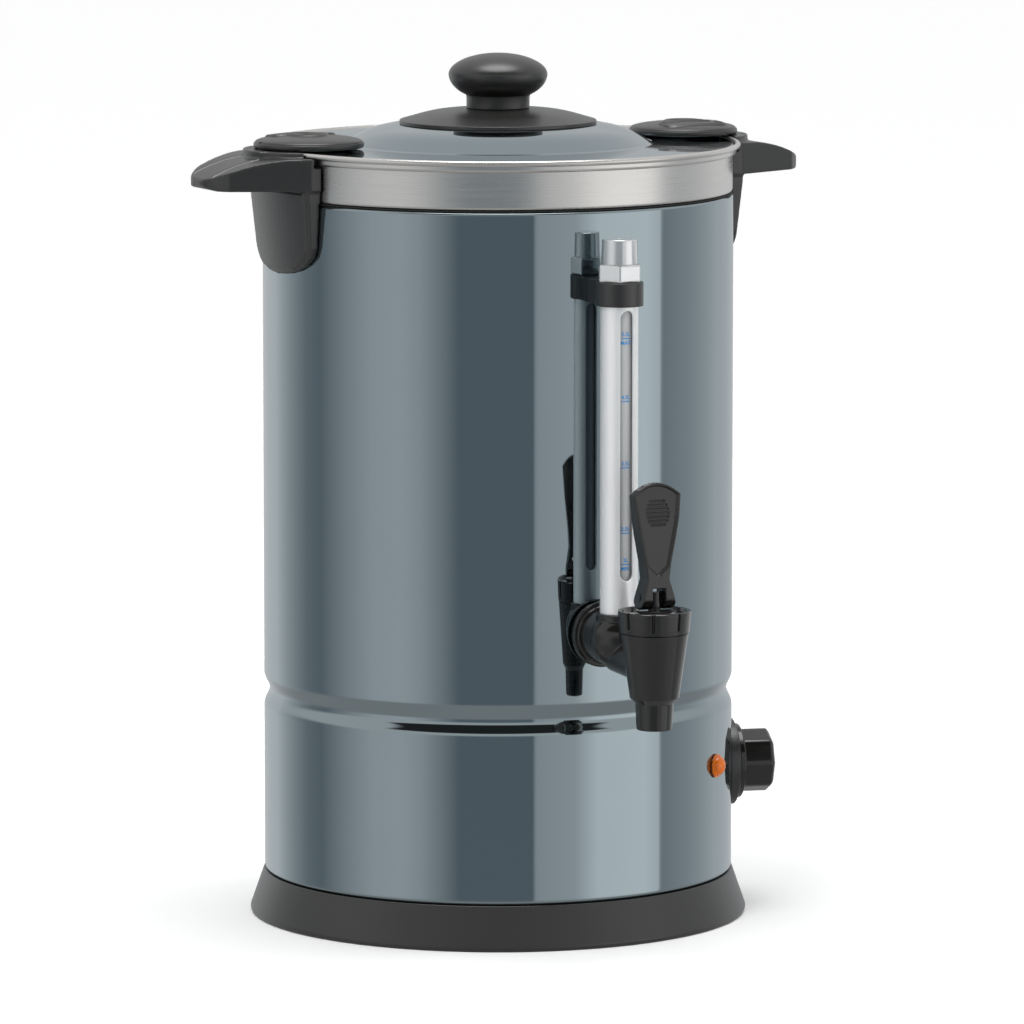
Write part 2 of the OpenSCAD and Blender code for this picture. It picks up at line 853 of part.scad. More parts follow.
chamber_r = 9.6;
neck_r = collar_r - 3.6;
outlet_r = 5.2;

// Tap body: a cone over a short nozzle, with a valve seat inside.
module tap_body() {
    color(black)
    around(-90)
    difference() {
        translate([tap_x, 0, 0])
            rotate_extrude()
                polygon([
                    [0, nozzle_z], [7.3, nozzle_z], [8.5, cone_foot - 2.6], [cone_r0, cone_foot],
                    [cone_r1, cone_top], [neck_r, cone_top], [neck_r, cone_top + 6],
                    [0, cone_top + 6]
                ]);
        translate([tap_x, 0, nozzle_z - 1])
            cylinder(r = outlet_r, h = 60);
        translate([tap_x, 0, seat_z])
            cylinder(r = chamber_r, h = 60);
        translate([gauge_x, 0, arm_z])
            rotate([0, 90 + arm_drop, 0])
                cylinder(r = arm_bore, h = tap_out);
    }
}

// Screwed collar that closes the valve chamber and guides the stem.
module tap_bonnet() {
    color(black)
    around(-90)
    translate([tap_x, 0, 0])
    difference() {
        rotate_extrude()
            polygon([
                [0, cone_top + 6.1], [neck_r + 0.1, cone_top + 6.1], [neck_r + 0.1, cone_top + 0.1],
                [collar_r - 0.9, cone_top + 0.1], [collar_r - 0.1, collar_top - 0.5],
                [collar_r - 0.6, collar_top], [collar_r - 1.6, collar_top], [collar_r - 3, collar_top - 1.4],
                [9.4, collar_top - 1.4], [8.4, collar_top - 0.8], [8.4, boss_top], [0, boss_top]
            ]);
        translate([0, 0, cone_top])
            cylinder(r = stem_r + run_gap, h = 30);
        for (turn = [0 : 45 : 315])
            rotate([0, 0, turn + 17])
                translate([collar_r - 0.9, -0.35, cone_top + 2])
                    cube([3, 0.7, 7]);
    }
}

cup_r = 8;
// How far the stem rises above the lever pin
stem_head = 2.8;
cup_top = seat_z + 7.5;
// Valve rod: its eye carries the lever and its foot carries the seat cup.
module tap_stem() {
    color(black)
    around(-90)
    translate([tap_x, 0, 0])
    difference() {
        union() {
            translate([0, 0, seat_z + 3])
                cylinder(r = stem_r, h = pin_z + stem_head - seat_z - 3);
            translate([0, 0, cup_top])
                cylinder(r = 6, h = 1.2);
        }
        translate([0, 20, pin_z])
            rotate([90, 0, 0])
                cylinder(r = pin_r + run_gap, h = 40);
    }
}

module seat_cup() {
    color([0.8, 0.78, 0.74])
    around(-90)
    translate([tap_x, 0, 0])
    difference() {
        rotate_extrude()
            polygon([
                [0, seat_z + 0.05], [cup_r, seat_z + 0.05], [cup_r, seat_z + 2.5],
                [6.4, cup_top], [0, cup_top]
            ]);
        translate([0, 0, seat_z + 3])
            cylinder(r = stem_r, h = 20);
    }
}

// Spring under the bonnet that pushes the seat cup shut.
module tap_spring() {
    coil_r = 4.6;
    thick = 0.6;
    turns = 5;
    sides = 8;
    per_turn = 20;
    z0 = cup_top + 1.2 + thick;
    z1 = cone_top + 6.1 - thick;
    steps = turns * per_turn;
    points = [for (i = [0 : steps]) for (k = [0 : sides - 1])
        let (a = 360 * i / per_turn, b = 360 * k / sides, rr = coil_r + thick * cos(b))
        [rr * cos(a), rr * sin(a), z0 + (z1 - z0) * i / steps + thick * sin(b)]];
    walls = [for (i = [0 : steps - 1]) for (k = [0 : sides - 1])
        [i * sides + k, (i + 1) * sides + k,
         (i + 1) * sides + (k + 1) % sides, i * sides + (k + 1) % sides]];
    ends = [[for (k = [0 : sides - 1]) k],
            [for (k = [sides - 1 : -1 : 0]) steps * sides + k]];
    color("silver")
    around(-90)
    translate([tap_x, 0, 0])
        polyhedron(points, concat(walls, ends));
}

lever_foot_w = 17;
lever_waist_w = 11.2;
lever_top_w = 24.2;
lever_thick = 9;
slot_w = 2 * stem_r + 0.5;

module lever_pin() {
    color(black)
    around(-90)
    translate([tap_x, lever_foot_w / 2 - 0.2, pin_z])
        rotate([90, 0, 0])
            cylinder(r = pin_r, h = lever_foot_w - 0.4);
}

// Paddle lever: forked foot round the stem, narrow waist, wide thumb blade with an arched top.
module tap_lever() {
    top_z = collar_top + lever_h;
    waist_z = pin_z + 8.5;
    wide_z = top_z - 5.5;
    // Front outline as half widths against height.
    half = [
        [lever_foot_w / 2, pin_z - cam_r - 1], [lever_foot_w / 2, pin_z - 2],
        [lever_waist_w / 2, waist_z], [lever_waist_w / 2 + 1, waist_z + 8],
        [lever_top_w / 2 - 2, wide_z - 14], [lever_top_w / 2, wide_z]
    ];
    crown = [for (i = [0 : 8]) let (t = -1 + i / 4)
        [-t * lever_top_w / 2, wide_z + (top_z - wide_z) * (1 - t * t)]];
    outline = concat(half, crown, [for (p = reversed(half)) [-p.x, p.y]]);
    // Side outline: a round foot about the pin under a blade that thins upward.
    side = concat(
        [for (i = [0 : 12]) let (a = -180 + 15 * i) [cam_r * cos(a), pin_z + cam_r * sin(a)]],
        [[lever_thick / 2, waist_z], [lever_thick / 2 - 0.4, wide_z - 10], [1.9, top_z - 1],
         [1.2, top_z + 1], [-1.2, top_z + 1], [-1.9, top_z - 1],
         [-lever_thick / 2 + 1.2, wide_z - 10], [-lever_thick / 2, waist_z]]
    );
    color(black)
    around(-90)
    translate([tap_x, 0, 0])
    difference() {
        intersection() {
            translate([-20, 0, 0])
                rotate([90, 0, 90])
                    linear_extrude(40)
                        polygon(outline);
            translate([0, 20, 0])
                rotate([90, 0, 0])
                    linear_extrude(40)
                        polygon(side);
        }
        translate([-20, -slot_w / 2, pin_z - 20])
            cube([40, slot_w, 20 + norm([stem_r, stem_head]) + 0.4]);
        translate([0, 20, pin_z])
            rotate([90, 0, 0])
                cylinder(r = pin_r, h = 40);
    }
}

// ---------------------------------------------------------------- lid

crease_z = flange_z + 0.4;
top_z = crease_z + dome_h;
dome_steps = 8;
// The dome rises as a flattening curve from the crease to the plateau.
function dome_face(drop) = [for (i = [0 : dome_steps]) let (t = i / dome_steps)
    [crease_r + (plateau_r - crease_r) * t - drop * 0.3, crease_z - drop + dome_h * (1.45 * t - 0.45 * t * t)]];

module lid_shell() {
    rim_z = ledge_z + pot_t + face_gap;
    outer = concat([[lid_r, rim_z], [lid_r, flange_z - 0.8], [lid_r - 0.8, flange_z]],
        dome_face(0), [[5, top_z]]);
    inner = concat([[lid_r - lid_t, rim_z], [lid_r - lid_t, flange_z - lid_t - 0.2],
        [lid_r - lid_t - 0.6, flange_z - lid_t]], dome_face(lid_t), [[5, top_z - lid_t]]);
    color(paint)
        rotate_extrude($fn = 180)
            polygon(concat(outer, reversed(inner)));
}

neck_r_lid = 15.3;
disc_h = 7.2;
// Black insulating disc between the lid and its knob.
module lid_disc() {
    rim = 1.6;
    steps = 8;
    rise = [for (i = [0 : steps]) let (t = i / steps)
        [disc_r - 0.5 + (neck_r_lid - disc_r + 0.5) * t, top_z + rim + (disc_h - rim) * (1.6 * t - 0.6 * t * t)]];
    color(black)
    difference() {
        rotate_extrude()
            polygon(concat([[2.7, top_z], [disc_r, top_z], [disc_r, top_z + rim - 0.4]],
                rise, [[2.7, top_z + disc_h]]));
        ring(disc_r - 3, 9, top_z - 1, top_z + 1.4);
    }
}

knob_z = top_z + disc_h;
// Mushroom knob turned to an ellipse above a short neck.
module lid_knob() {
    neck_h = 6.4;
    mid = neck_h + (knob_h - neck_h) * 0.5;
    lower = [for (i = [0 : 6]) let (a = -75 + 12.5 * i)
        [neck_r_lid + (knob_r - neck_r_lid) * pow((cos(a) - cos(75)) / (1 - cos(75)), 1.3),
         knob_z + mid + (mid - neck_h) * sin(a) / sin(75)]];
    upper = [for (i = [1 : 8]) let (a = 10 * i)
        [knob_r * cos(a), knob_z + mid + (knob_h - mid) * sin(a) / sin(80)]];
    color(black)
    difference() {
        rotate_extrude()
            polygon(concat([[0, knob_z], [neck_r_lid - 0.3, knob_z], [neck_r_lid - 0.3, knob_z + neck_h - 0.8]],
                lower, upper, [[0, knob_z + knob_h]]));
        translate([0, 0, knob_z - 1])
            cylinder(r = 2.5, h = 14);
    }
}

// Screw and washer that hold knob and disc from inside the lid.
module lid_screw() {
    color("silver")
    translate([0, 0, top_z - lid_t]) {
        translate([0, 0, -1])
            screw_up(2.5, 1 + lid_t + disc_h + 11, 4.6, 2.4);
        translate([0, 0, -1])
            cylinder(r = 8, h = 1);
    }
}

// ---------------------------------------------------------------- handles

grip_top = rim_top - 2.2;
grip_bottom = grip_top - grip_t;
grip_x = jacket_r + grip_reach;
shelf_z = rim_top + 0.2;
lock_z = shelf_z + face_gap;
lock_c = jacket_r - 13.8;
pivot_x = lock_c + lock_arm;
shelf_r = lock_r + 5;
well_r = 6.6;
well_z = grip_bottom + 5;

// Plan outline of the grip: tapered wings that end in a shallow round nose.
module grip_plan() {
    nose_l = 9;
    nose_x = grip_x - nose_l;
    nose = [for (i = [-8 : 8]) let (t = i / 8) [nose_x + nose_l * (1 - pow(abs(t), 2.4)), tip_w * t]];
    polygon(concat([[jacket_r - 20, -handle_w], [jacket_r, -handle_w]], nose,
        [[jacket_r, handle_w], [jacket_r - 20, handle_w]]));
}

// Side outline of the grip: flat below, drooping to a blunt nose.
module grip_side() {
    drop = [for (i = [0 : 8]) let (t = i / 8)
        [jacket_r + 4 + (grip_reach - 5) * t, grip_top - 9.8 * pow(t, 2)]];
    polygon(concat([[jacket_r - 20, grip_bottom], [jacket_r - 20, grip_top]], drop,
        [[grip_x, grip_bottom + 3.4], [grip_x - 1.2, grip_bottom + 1.4], [grip_x - 5, grip_bottom]]));
}

// Front outline of the bracket: straight flanks that round into a broad foot.
module bracket_front() {
    foot_w = handle_w * 0.92;
    foot_h = 14;
    foot = [for (i = [0 : 10]) let (a = -180 + 18 * i)
        [foot_w * cos(a), grip_bottom - bracket_h + foot_h + foot_h * sin(a)]];
    polygon(concat(foot, [[handle_w - 1, grip_bottom - 4], [handle_w - 1, grip_bottom + 6],
        [-handle_w + 1, grip_bottom + 6], [-handle_w + 1, grip_bottom - 4]]));
}

// Heat-proof handle: bracket, drooping grip and the round shelf under the lid lock.
module handle() {
    face_x = jacket_r + 7;
    groove_w = 1.2;
    difference() {
        union() {
            intersection() {
                linear_extrude(rim_top + 1)
                    grip_plan();
                translate([0, handle_w + 1, 0])
                    rotate([90, 0, 0])
                        linear_extrude(2 * handle_w + 2)
                            grip_side();
            }
            intersection() {
                rotate([90, 0, 90])
                    linear_extrude(face_x)
                        bracket_front();
                translate([0, 0, grip_bottom - bracket_h - 1])
                    cylinder(r1 = jacket_r + 2.4, r2 = jacket_r + 7.6, h = bracket_h + 10, $fn = 180);
            }
            translate([lock_c, 0, grip_top - 6])
                cylinder(r = shelf_r, h = shelf_z - grip_top + 6);
        }
        // hollow for the jacket and the steel band
        translate([0, 0, grip_bottom - bracket_h - 2])
            cylinder(r = jacket_r + 0.25, h = bracket_h + grip_t + 10, $fn = 180);
        // slot for the rolled bead and the lid
        translate([0, 0, ledge_z - 0.8])
            cylinder(r = notch_r, h = 20, $fn = 180);
        // bore and well for the lock pivot
        translate([pivot_x, 0, grip_bottom - 1])
            cylinder(r = post_r + run_gap, h = grip_t + 10);
        translate([pivot_x, 0, grip_bottom - 1])
            cylinder(r = well_r, h = well_z - grip_bottom + 1);
        for (turn = [-screw_turn, screw_turn])
            around(turn)
                rod_x(2, jacket_r - 5, jacket_r + 10, screw_z);
        // grip grooves on the upper face
        for (side = [-1, 1])
            translate([jacket_r + 20.5, side * 11.5 - groove_w / 2, grip_top - 3])
                rotate([0, 14, 0])
                    cube([16, groove_w, 8]);
    }
}

module left_handle() {
    color(black)
        around(180)
            handle();
}

module right_handle() {
    color(black)
        handle();
}

module handle_screws() {
    color("silver")
    for (end = [0, 180])
        for (turn = [-screw_turn, screw_turn])
            around(end + turn)
                translate([band_r - pot_t - 0.15, 0, screw_z])
                    rotate([0, 90, 0])
                        screw_up(1.95, 10.5, 3.6, 2.2);
}

lock_h = 2.8;
lock_crown = 3.1;
// Round swivelling lid lock: a domed cap, hollow below, on a pivot post near its outer edge.
module lock() {
    wall = 1.8;
    cap = [for (i = [0 : 6]) let (t = i / 6)
        [(lock_r - 0.8) * cos(90 * t), lock_z + lock_h + lock_crown * sin(90 * t)]];
    hollow = [for (i = [0 : 4]) let (t = i / 4)
        [(lock_r - wall - 1) * cos(90 * t), lock_z + lock_h - wall + 0.2 + lock_crown * sin(90 * t)]];
    difference() {
        union() {
            difference() {
                translate([lock_c, 0, 0])
                    rotate_extrude()
                        polygon(concat([[0, lock_z], [lock_r - 0.6, lock_z], [lock_r, lock_z + 0.8],
                            [lock_r, lock_z + lock_h - 0.8]], cap));
                translate([lock_c, 0, 0])
                    rotate_extrude()
                        polygon(concat([[0, lock_z - 1], [lock_r - wall - 1, lock_z - 1]], hollow));
            }
            // ribs under the cap, then the post boss
            intersection() {
                translate([lock_c, 0, 0])
                    rotate_extrude()
                        polygon(concat([[0, lock_z], [lock_r - 1.2, lock_z]], cap));
                union() {
                    for (turn = [0 : 60 : 120])
                        translate([lock_c, 0, lock_z])
                            rotate([0, 0, turn])
                                translate([-lock_r, -0.6, 0])
                                    cube([2 * lock_r, 1.2, lock_h + 1]);
                    translate([pivot_x, 0, lock_z])
                        cylinder(r = post_r + 1.6, h = lock_h + 1);
                }
            }
            translate([pivot_x, 0, well_z - face_gap])
                cylinder(r = post_r, h = lock_z + 1 - well_z + face_gap);
            lock_mark();
        }
        translate([pivot_x, 0, well_z - 2])
            cylinder(r = 1.2, h = 9);
    }
}

// Raised padlock outline moulded on the cap: a body frame and a shackle bow.
module lock_mark() {
    line = 1.3;
    crest = lock_z + lock_h + lock_crown + 0.5;
    translate([lock_c - 1.5, 0, lock_z + lock_h])
    linear_extrude(crest - lock_z - lock_h) {
        translate([0, -4]) {
            difference() {
                square([29, 11], center = true);
                square([29 - 2 * line, 11 - 2 * line], center = true);
            }
        }
        translate([0, 1.5]) {
            difference() {
                union() {
                    circle(r = 7.5);
                    translate([-9, -1])
                        square([18, 1]);
                }
                circle(r = 7.5 - line);
                translate([-20, -20])
                    square([40, 20]);
            }
        }
    }
}

module left_lock() {
    color(black)
        around(180)
            lock();
}

module right_lock() {
    color(black)
        lock();
}

// Screw and washer that keep the pivot post from lifting out.
module lock_screw() {
    color("silver")
    translate([pivot_x, 0, well_z - face_gap]) {
        translate([0, 0, -0.9])
            screw_up(1.2, 6, 2.6, 1.6);
        translate([0, 0, -0.9])
            cylinder(r = 5.2, h = 0.9);
    }
}

module left_lock_screw() {
    around(180)
        lock_screw();
}

module right_lock_screw() {
    lock_screw();
}

base_ring();
rubber_feet();
bottom_cover();
cover_screws();
tie_rod();
tie_nut();
jacket();
inner_pot();
rim_gasket();
heater_plate();
heating_element();
thermal_cutout();
thermostat_body();
thermostat_screws();
thermostat_shaft();
control_knob();
control_bezel();
sensor_capillary();
lamp_lens();
lamp_holder();
terminal_block();
wiring();
cord_inlet();
tap_shank();
tank_nut();
shank_gaskets();
shank_spacer();
tap_elbow();
gauge_sleeve();
gauge_tube();
gauge_seals();
gauge_bracket();
bracket_screw();
gauge_nut();
gauge_cap();
tap_body();
tap_bonnet();
tap_stem();
seat_cup();
tap_spring();
lever_pin();
tap_lever();
lid_shell();
lid_disc();
lid_knob();
lid_screw();
left_handle();
right_handle();
handle_screws();
left_lock();
right_lock();
left_lock_screw();
right_lock_screw();
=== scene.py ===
import math

import bmesh
import bpy
import numpy as np
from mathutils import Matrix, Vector


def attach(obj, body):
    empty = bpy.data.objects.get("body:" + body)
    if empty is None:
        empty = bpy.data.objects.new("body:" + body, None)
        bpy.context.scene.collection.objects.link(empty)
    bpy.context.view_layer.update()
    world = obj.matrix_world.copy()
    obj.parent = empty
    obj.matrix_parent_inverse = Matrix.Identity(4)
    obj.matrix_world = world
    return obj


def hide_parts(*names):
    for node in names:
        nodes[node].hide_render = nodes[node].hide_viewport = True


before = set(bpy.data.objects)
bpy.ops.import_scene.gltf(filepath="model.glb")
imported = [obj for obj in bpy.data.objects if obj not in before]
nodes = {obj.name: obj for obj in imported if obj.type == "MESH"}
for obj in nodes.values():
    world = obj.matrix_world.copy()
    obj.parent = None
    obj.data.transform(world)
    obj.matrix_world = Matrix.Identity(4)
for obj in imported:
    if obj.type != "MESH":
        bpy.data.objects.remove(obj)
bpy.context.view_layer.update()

# ---------------------------------------------------------------- camera and room
# The urn stands on a pale seamless sweep. The camera looks slightly down on it from the
# front left with a long lens, as for a catalogue picture.
view_turn = math.radians(-25.1)
view_rise = math.radians(7.38)
view_distance = 3.7125
view_target = Vector((0, 0, 0.19434))
toward_camera = Vector((math.sin(view_turn) * math.cos(view_rise),
                        -math.cos(view_turn) * math.cos(view_rise), math.sin(view_rise)))
lens = bpy.data.cameras.new("catalogue_lens")
lens.lens, lens.sensor_width = 272.9, 36
lens.shift_x, lens.shift_y = 0.01367, -0.00516
lens.clip_start, lens.clip_end = 0.1, 60
camera = bpy.data.objects.new("camera", lens)
camera.location = view_target + toward_camera * view_distance
camera.rotation_euler = (-toward_camera).to_track_quat("-Z", "Y").to_euler()
bpy.context.scene.collection.objects.link(camera)
bpy.context.scene.camera = camera


def linear(code):
    """sRGB hex to the linear colour a shader takes."""
    c = np.array([int(code[i:i + 2], 16) for i in (1, 3, 5)]) / 255
    c = np.where(c <= 0.04045, c / 12.92, ((c + 0.055) / 1.055) ** 2.4)
    return (*c.tolist(), 1.0)


def node(tree, kind, inputs=None, **options):
    """Adds one node, sets its options, and gives each named input a value or another node's output.
    A colour mix takes its two colours at inputs 6 and 7 and gives the result at output 2."""
    made = tree.nodes.new(kind)
    for option, value in options.items():
        setattr(made, option, value)
    for socket, value in (inputs or {}).items():
        if isinstance(value, bpy.types.NodeSocket):
            tree.links.new(value, made.inputs[socket])
        else:
            made.inputs[socket].default_value = value
    return made


# Soft panels stand round the urn: a bright one on its right, dimmer ones on its left and behind it,
# and dark gaps where the camera stands and at both sides. Each row is the direction from the camera
# line in degrees and a brightness.
panels = [(-180, 0.5), (-161, 0.68), (-140, 0.8), (-120, 0.48), (-108, 0.3), (-97, 0.25), (-78, 0.49),
          (-64, 0.64), (-48, 0.67), (-38, 0.58), (-25, 0.34), (-19, 0.22), (17, 0.22), (18.5, 0.56),
          (38, 0.64), (50, 1.0), (77, 1.06), (86, 0.9), (87.5, 0.38), (106, 0.48), (134, 0.7),
          (156, 0.65), (180, 0.5)]
studio = bpy.data.worlds.new("studio")
studio.use_nodes = True
bpy.context.scene.world = studio
sky = studio.node_tree
sky.nodes.clear()
ray = node(sky, "ShaderNodeTexCoord").outputs["Generated"]
ahead = node(sky, "ShaderNodeVectorMath", {0: ray, 1: (math.sin(view_turn), -math.cos(view_turn), 0)},
             operation="DOT_PRODUCT").outputs["Value"]
aside = node(sky, "ShaderNodeVectorMath", {0: ray, 1: (math.cos(view_turn), math.sin(view_turn), 0)},
             operation="DOT_PRODUCT").outputs["Value"]
bearing = node(sky, "ShaderNodeMath", {0: aside, 1: ahead}, operation="ARCTAN2").outputs[0]
share = node(sky, "ShaderNodeMapRange", {"Value": bearing, "From Min": -math.pi,
                                         "From Max": math.pi}).outputs[0]
ring = node(sky, "ShaderNodeValToRGB", {"Fac": share})
# A new ramp has two stops, which take the first two rows. A dim panel is a little cooler in colour.
for place, (degrees, level) in enumerate(panels):
    stop = degrees / 360 + 0.5
    if place < 2:
        mark = ring.color_ramp.elements[place]
        mark.position = stop
    else:
        mark = ring.color_ramp.elements.new(stop)
    cool = 1 - level
    mark.color = (level - 0.04 * cool, level, level + 0.03 * cool, 1)
height = node(sky, "ShaderNodeSeparateXYZ", {0: ray}).outputs["Z"]


def blend(below, level, value, low, high):
    """Mixes one brightness into the sky where a value passes from low to high."""
    rise = node(sky, "ShaderNodeMapRange", {"Value": value, "From Min": low, "From Max": high},
                interpolation_type="SMOOTHSTEP").outputs[0]
    return node(sky, "ShaderNodeMix", {0: rise, 6: below, 7: (level, level, level, 1)},
                data_type="RGBA").outputs[2]


# Above the panels the room is even and a little dimmer, dark over the camera, and a broad light
# hangs straight overhead. Well below the urn's foot the room is dim. The camera itself sees white.
above = blend(ring.outputs["Color"], 0.66, height, 0.1, 0.35)
dark = blend(above, 0.03, ahead, 0.36, 0.46)
high_up = node(sky, "ShaderNodeMapRange", {"Value": height, "From Min": 0.50, "From Max": 0.54}).outputs[0]
front = node(sky, "ShaderNodeMix", {0: high_up, 6: above, 7: dark}, data_type="RGBA").outputs[2]
lit = blend(front, 4.4, height, 0.9, 0.96)
lit = blend(lit, 0.38, height, -0.15, -0.5)
seen = node(sky, "ShaderNodeLightPath").outputs["Is Camera Ray"]
plain = node(sky, "ShaderNodeMix", {0: seen, 6: lit, 7: (1, 1, 1, 1)}, data_type="RGBA").outputs[2]
light = node(sky, "ShaderNodeBackground", {"Color": plain, "Strength": 1.0})
node(sky, "ShaderNodeOutputWorld", {"Surface": light.outputs["Background"]})
bpy.context.scene.view_settings.view_transform = "Standard"

# Two round lights, unseen in reflections, light the floor and the matte pieces. Each is a name, a place
# and a width in metres, and a power in watts.
soft_lights = [("key_panel", (-1.5, -1.3, 1.7), 1.1, 24), ("fill_panel", (1.6, -0.4, 1.5), 1.0, 9)]
aim_height = 0.2
for label, (x, y, z), width, watts in soft_lights:
    panel = bpy.data.lights.new(label, "AREA")
    panel.shape, panel.size, panel.energy = "DISK", width, watts
    holder = bpy.data.objects.new(label, panel)
    holder.location = (x, y, z)
    holder.visible_glossy = False
    holder.rotation_euler = Vector((x, y, z - aim_height)).to_track_quat("Z", "Y").to_euler()
    bpy.context.scene.collection.objects.link(holder)

sweep = bpy.data.meshes.new("sweep")
sweep.from_pydata([(-30, -30, 0), (30, -30, 0), (30, 30, 0), (-30, 30, 0)], [], [(0, 1, 2, 3)])
floor = bpy.data.objects.new("floor", sweep)
floor.visible_glossy = False
bpy.context.scene.collection.objects.link(floor)
paper = bpy.data.materials.new("matte_white_paper")
paper.use_nodes = True
paper_look = paper.node_tree.nodes["Principled BSDF"].inputs
paper_look["Base Color"].default_value = linear("#F6F6F6")
paper_look["Roughness"].default_value = 1.0
paper_look["Specular IOR Level"].default_value = 0.0
sweep.materials.append(paper)

# ---------------------------------------------------------------- jacket
# Outer shell: one sheet of steel rolled into a tube, with a stiffening groove, a curled foot and a
# flange turned in at the top. It is coated with gloss enamel and clamped between base and pot.
MM = 0.001
jacket_r, jacket_top, sheet_t = 112.0, 345.5, 0.8
groove_z, groove_half, groove_depth = 108.0, 8.0, 2.6
foot_curl_r, shoulder_r = 2.4, 1.6
# Bearing round the urn and height of what passes through the jacket.
tap_turn, tap_z = math.radians(-90), 148.2
dial_turn, dial_z = math.radians(-13), 67.6
lamp_turn, lamp_z = math.radians(-48), 76.1
cord_turn, cord_z = math.radians(90), 37.8


def surface(name, tones, rough, grain, depth, stretch=(1, 1, 1), blotch=40, sockets=None):
    """Finish of one material: two near tones mixed by a slow noise, a roughness that drifts between two
    values with a fine noise, and the same fine noise as relief. Grain, depth and blotch are in mm."""
    made = bpy.data.materials.new(name)
    made.use_nodes = True
    tree = made.node_tree
    tree.nodes.clear()
    shader = node(tree, "ShaderNodeBsdfPrincipled", sockets)
    node(tree, "ShaderNodeOutputMaterial", {"Surface": shader.outputs["BSDF"]})
    place = node(tree, "ShaderNodeTexCoord").outputs["Object"]
    drawn = node(tree, "ShaderNodeMapping", {"Vector": place, "Scale": stretch}).outputs[0]
    fine = node(tree, "ShaderNodeTexNoise", {"Vector": drawn, "Scale": 1000 / grain,
                                             "Detail": 1.5}).outputs[0]
    slow = node(tree, "ShaderNodeTexNoise", {"Vector": place, "Scale": 1000 / blotch,
                                             "Detail": 2.0}).outputs[0]
    tone = node(tree, "ShaderNodeMix", {0: slow, 6: linear(tones[0]), 7: linear(tones[1])},
                data_type="RGBA")
    gloss = node(tree, "ShaderNodeMapRange", {"Value": fine, "From Min": 0.3, "From Max": 0.7,
                                              "To Min": rough[0], "To Max": rough[1]})
    relief = node(tree, "ShaderNodeBump", {"Height": fine, "Distance": depth * MM, "Strength": 1.0})
    tree.links.new(tone.outputs[2], shader.inputs["Base Color"])
    tree.links.new(gloss.outputs[0], shader.inputs["Roughness"])
    tree.links.new(relief.outputs[0], shader.inputs["Normal"])
    return made


# Gloss enamel over steel: smooth and mirror-like, so the eye sees the panels and the gauge in it.
# Its orange peel is about 7 mm from crest to crest and under a thousandth of a millimetre deep.
gloss_enamel = surface("gloss_grey_blue_enamel", ("#9CA9AE", "#9EABB0"), (0.03, 0.04), 7.0, 0.0006,
                       sockets={"Metallic": 1.0})


def cells(count_u, count_v, wrap_u, wrap_v):
    """Corner numbers of every cell of a grid of points: four numbers for each step along u and along v."""
    i, j = np.meshgrid(np.arange(count_u if wrap_u else count_u - 1),
                       np.arange(count_v if wrap_v else count_v - 1), indexing="ij")
    k, m = (i + 1) % count_u, (j + 1) % count_v
    return np.stack([i * count_v + j, k * count_v + j, k * count_v + m, i * count_v + m], -1)


# Faces that meet at no more than this many degrees are shaded as one smooth surface.
smooth_up_to = 32


def dress(piece, finish, body, stands_for, bend=smooth_up_to):
    """Shades a piece smooth up to a bend in degrees and gives it its finish, its body and its CAD nodes."""
    mesh = piece.data
    mesh.shade_smooth()
    mesh.set_sharp_from_angle(angle=math.radians(bend))
    mesh.materials.clear()
    mesh.materials.append(finish)
    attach(piece, body)
    if stands_for:
        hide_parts(*stands_for)
    return piece


def build(name, sheets, finish, body, stands_for=(), wall=None, bend=smooth_up_to):
    """Joins grids of points in mm into one piece. Each sheet is (points, wrap_u, wrap_v, kept cells).
    With a wall, the sheets are open and face outward, and Solidify gives them that thickness behind."""
    points, quads, start = [], [], 0
    for grid, wrap_u, wrap_v, *kept in sheets:
        quad = cells(grid.shape[0], grid.shape[1], wrap_u, wrap_v)
        quad = quad[kept[0]] if kept else quad.reshape(-1, 4)
        points.append(grid.reshape(-1, 3))
        quads.append(quad + start)
        start += grid.shape[0] * grid.shape[1]
    mesh = bpy.data.meshes.new(name)
    mesh.from_pydata(np.concatenate(points) * MM, [], np.concatenate(quads))
    form = bmesh.new()
    form.from_mesh(mesh)
    bmesh.ops.remove_doubles(form, verts=form.verts, dist=2e-6)
    bmesh.ops.dissolve_degenerate(form, edges=form.edges, dist=1e-6)
    bmesh.ops.delete(form, geom=[v for v in form.verts if not v.link_faces], context="VERTS")
    if wall is None:
        bmesh.ops.recalc_face_normals(form, faces=form.faces)
    form.to_mesh(mesh)
    form.free()
    piece = bpy.data.objects.new(name, mesh)
    bpy.context.scene.collection.objects.link(piece)
    if wall is not None:
        sheet = piece.modifiers.new("sheet", "SOLIDIFY")
        sheet.thickness, sheet.offset, sheet.use_even_offset = wall * MM, -1, True
    return dress(piece, finish, body, stands_for, bend)


def turn_angles(steps, rows):
    """The same angles round the axis for every row of a profile."""
    return np.repeat(np.linspace(0, 2 * np.pi, steps, endpoint=False)[:, None], rows, 1)


def pierce(angle, height, radius, holes):
    """Opens holes in a turned sheet. A hole is (turn, low, high, rim): its rim lies one distance from a
    middle line. Cells inside it are dropped, and the points left round them slide onto the rim."""
    def touched(mask):
        wide = np.pad(mask, ((0, 0), (1, 1)))
        wide = wide[:, 1:] | wide[:, :-1]
        return wide | np.roll(wide, 1, 0)

    kept = np.ones((angle.shape[0], angle.shape[1] - 1), bool)
    for turn, low, high, rim in holes:
        across = radius * ((angle - turn + np.pi) % (2 * np.pi) - np.pi)
        up = height - np.clip(height, low, high)
        far = np.hypot(across, up)
        middle = (far + np.roll(far, -1, 0)) / 2
        inside = (middle[:, 1:] + middle[:, :-1]) / 2 < rim
        kept &= ~inside
        slide = np.where(touched(inside) & touched(~inside), rim / np.maximum(far, 1e-6), 1)
        angle = angle + across * (slide - 1) / radius
        height = height + up * (slide - 1)
    return angle, height, kept


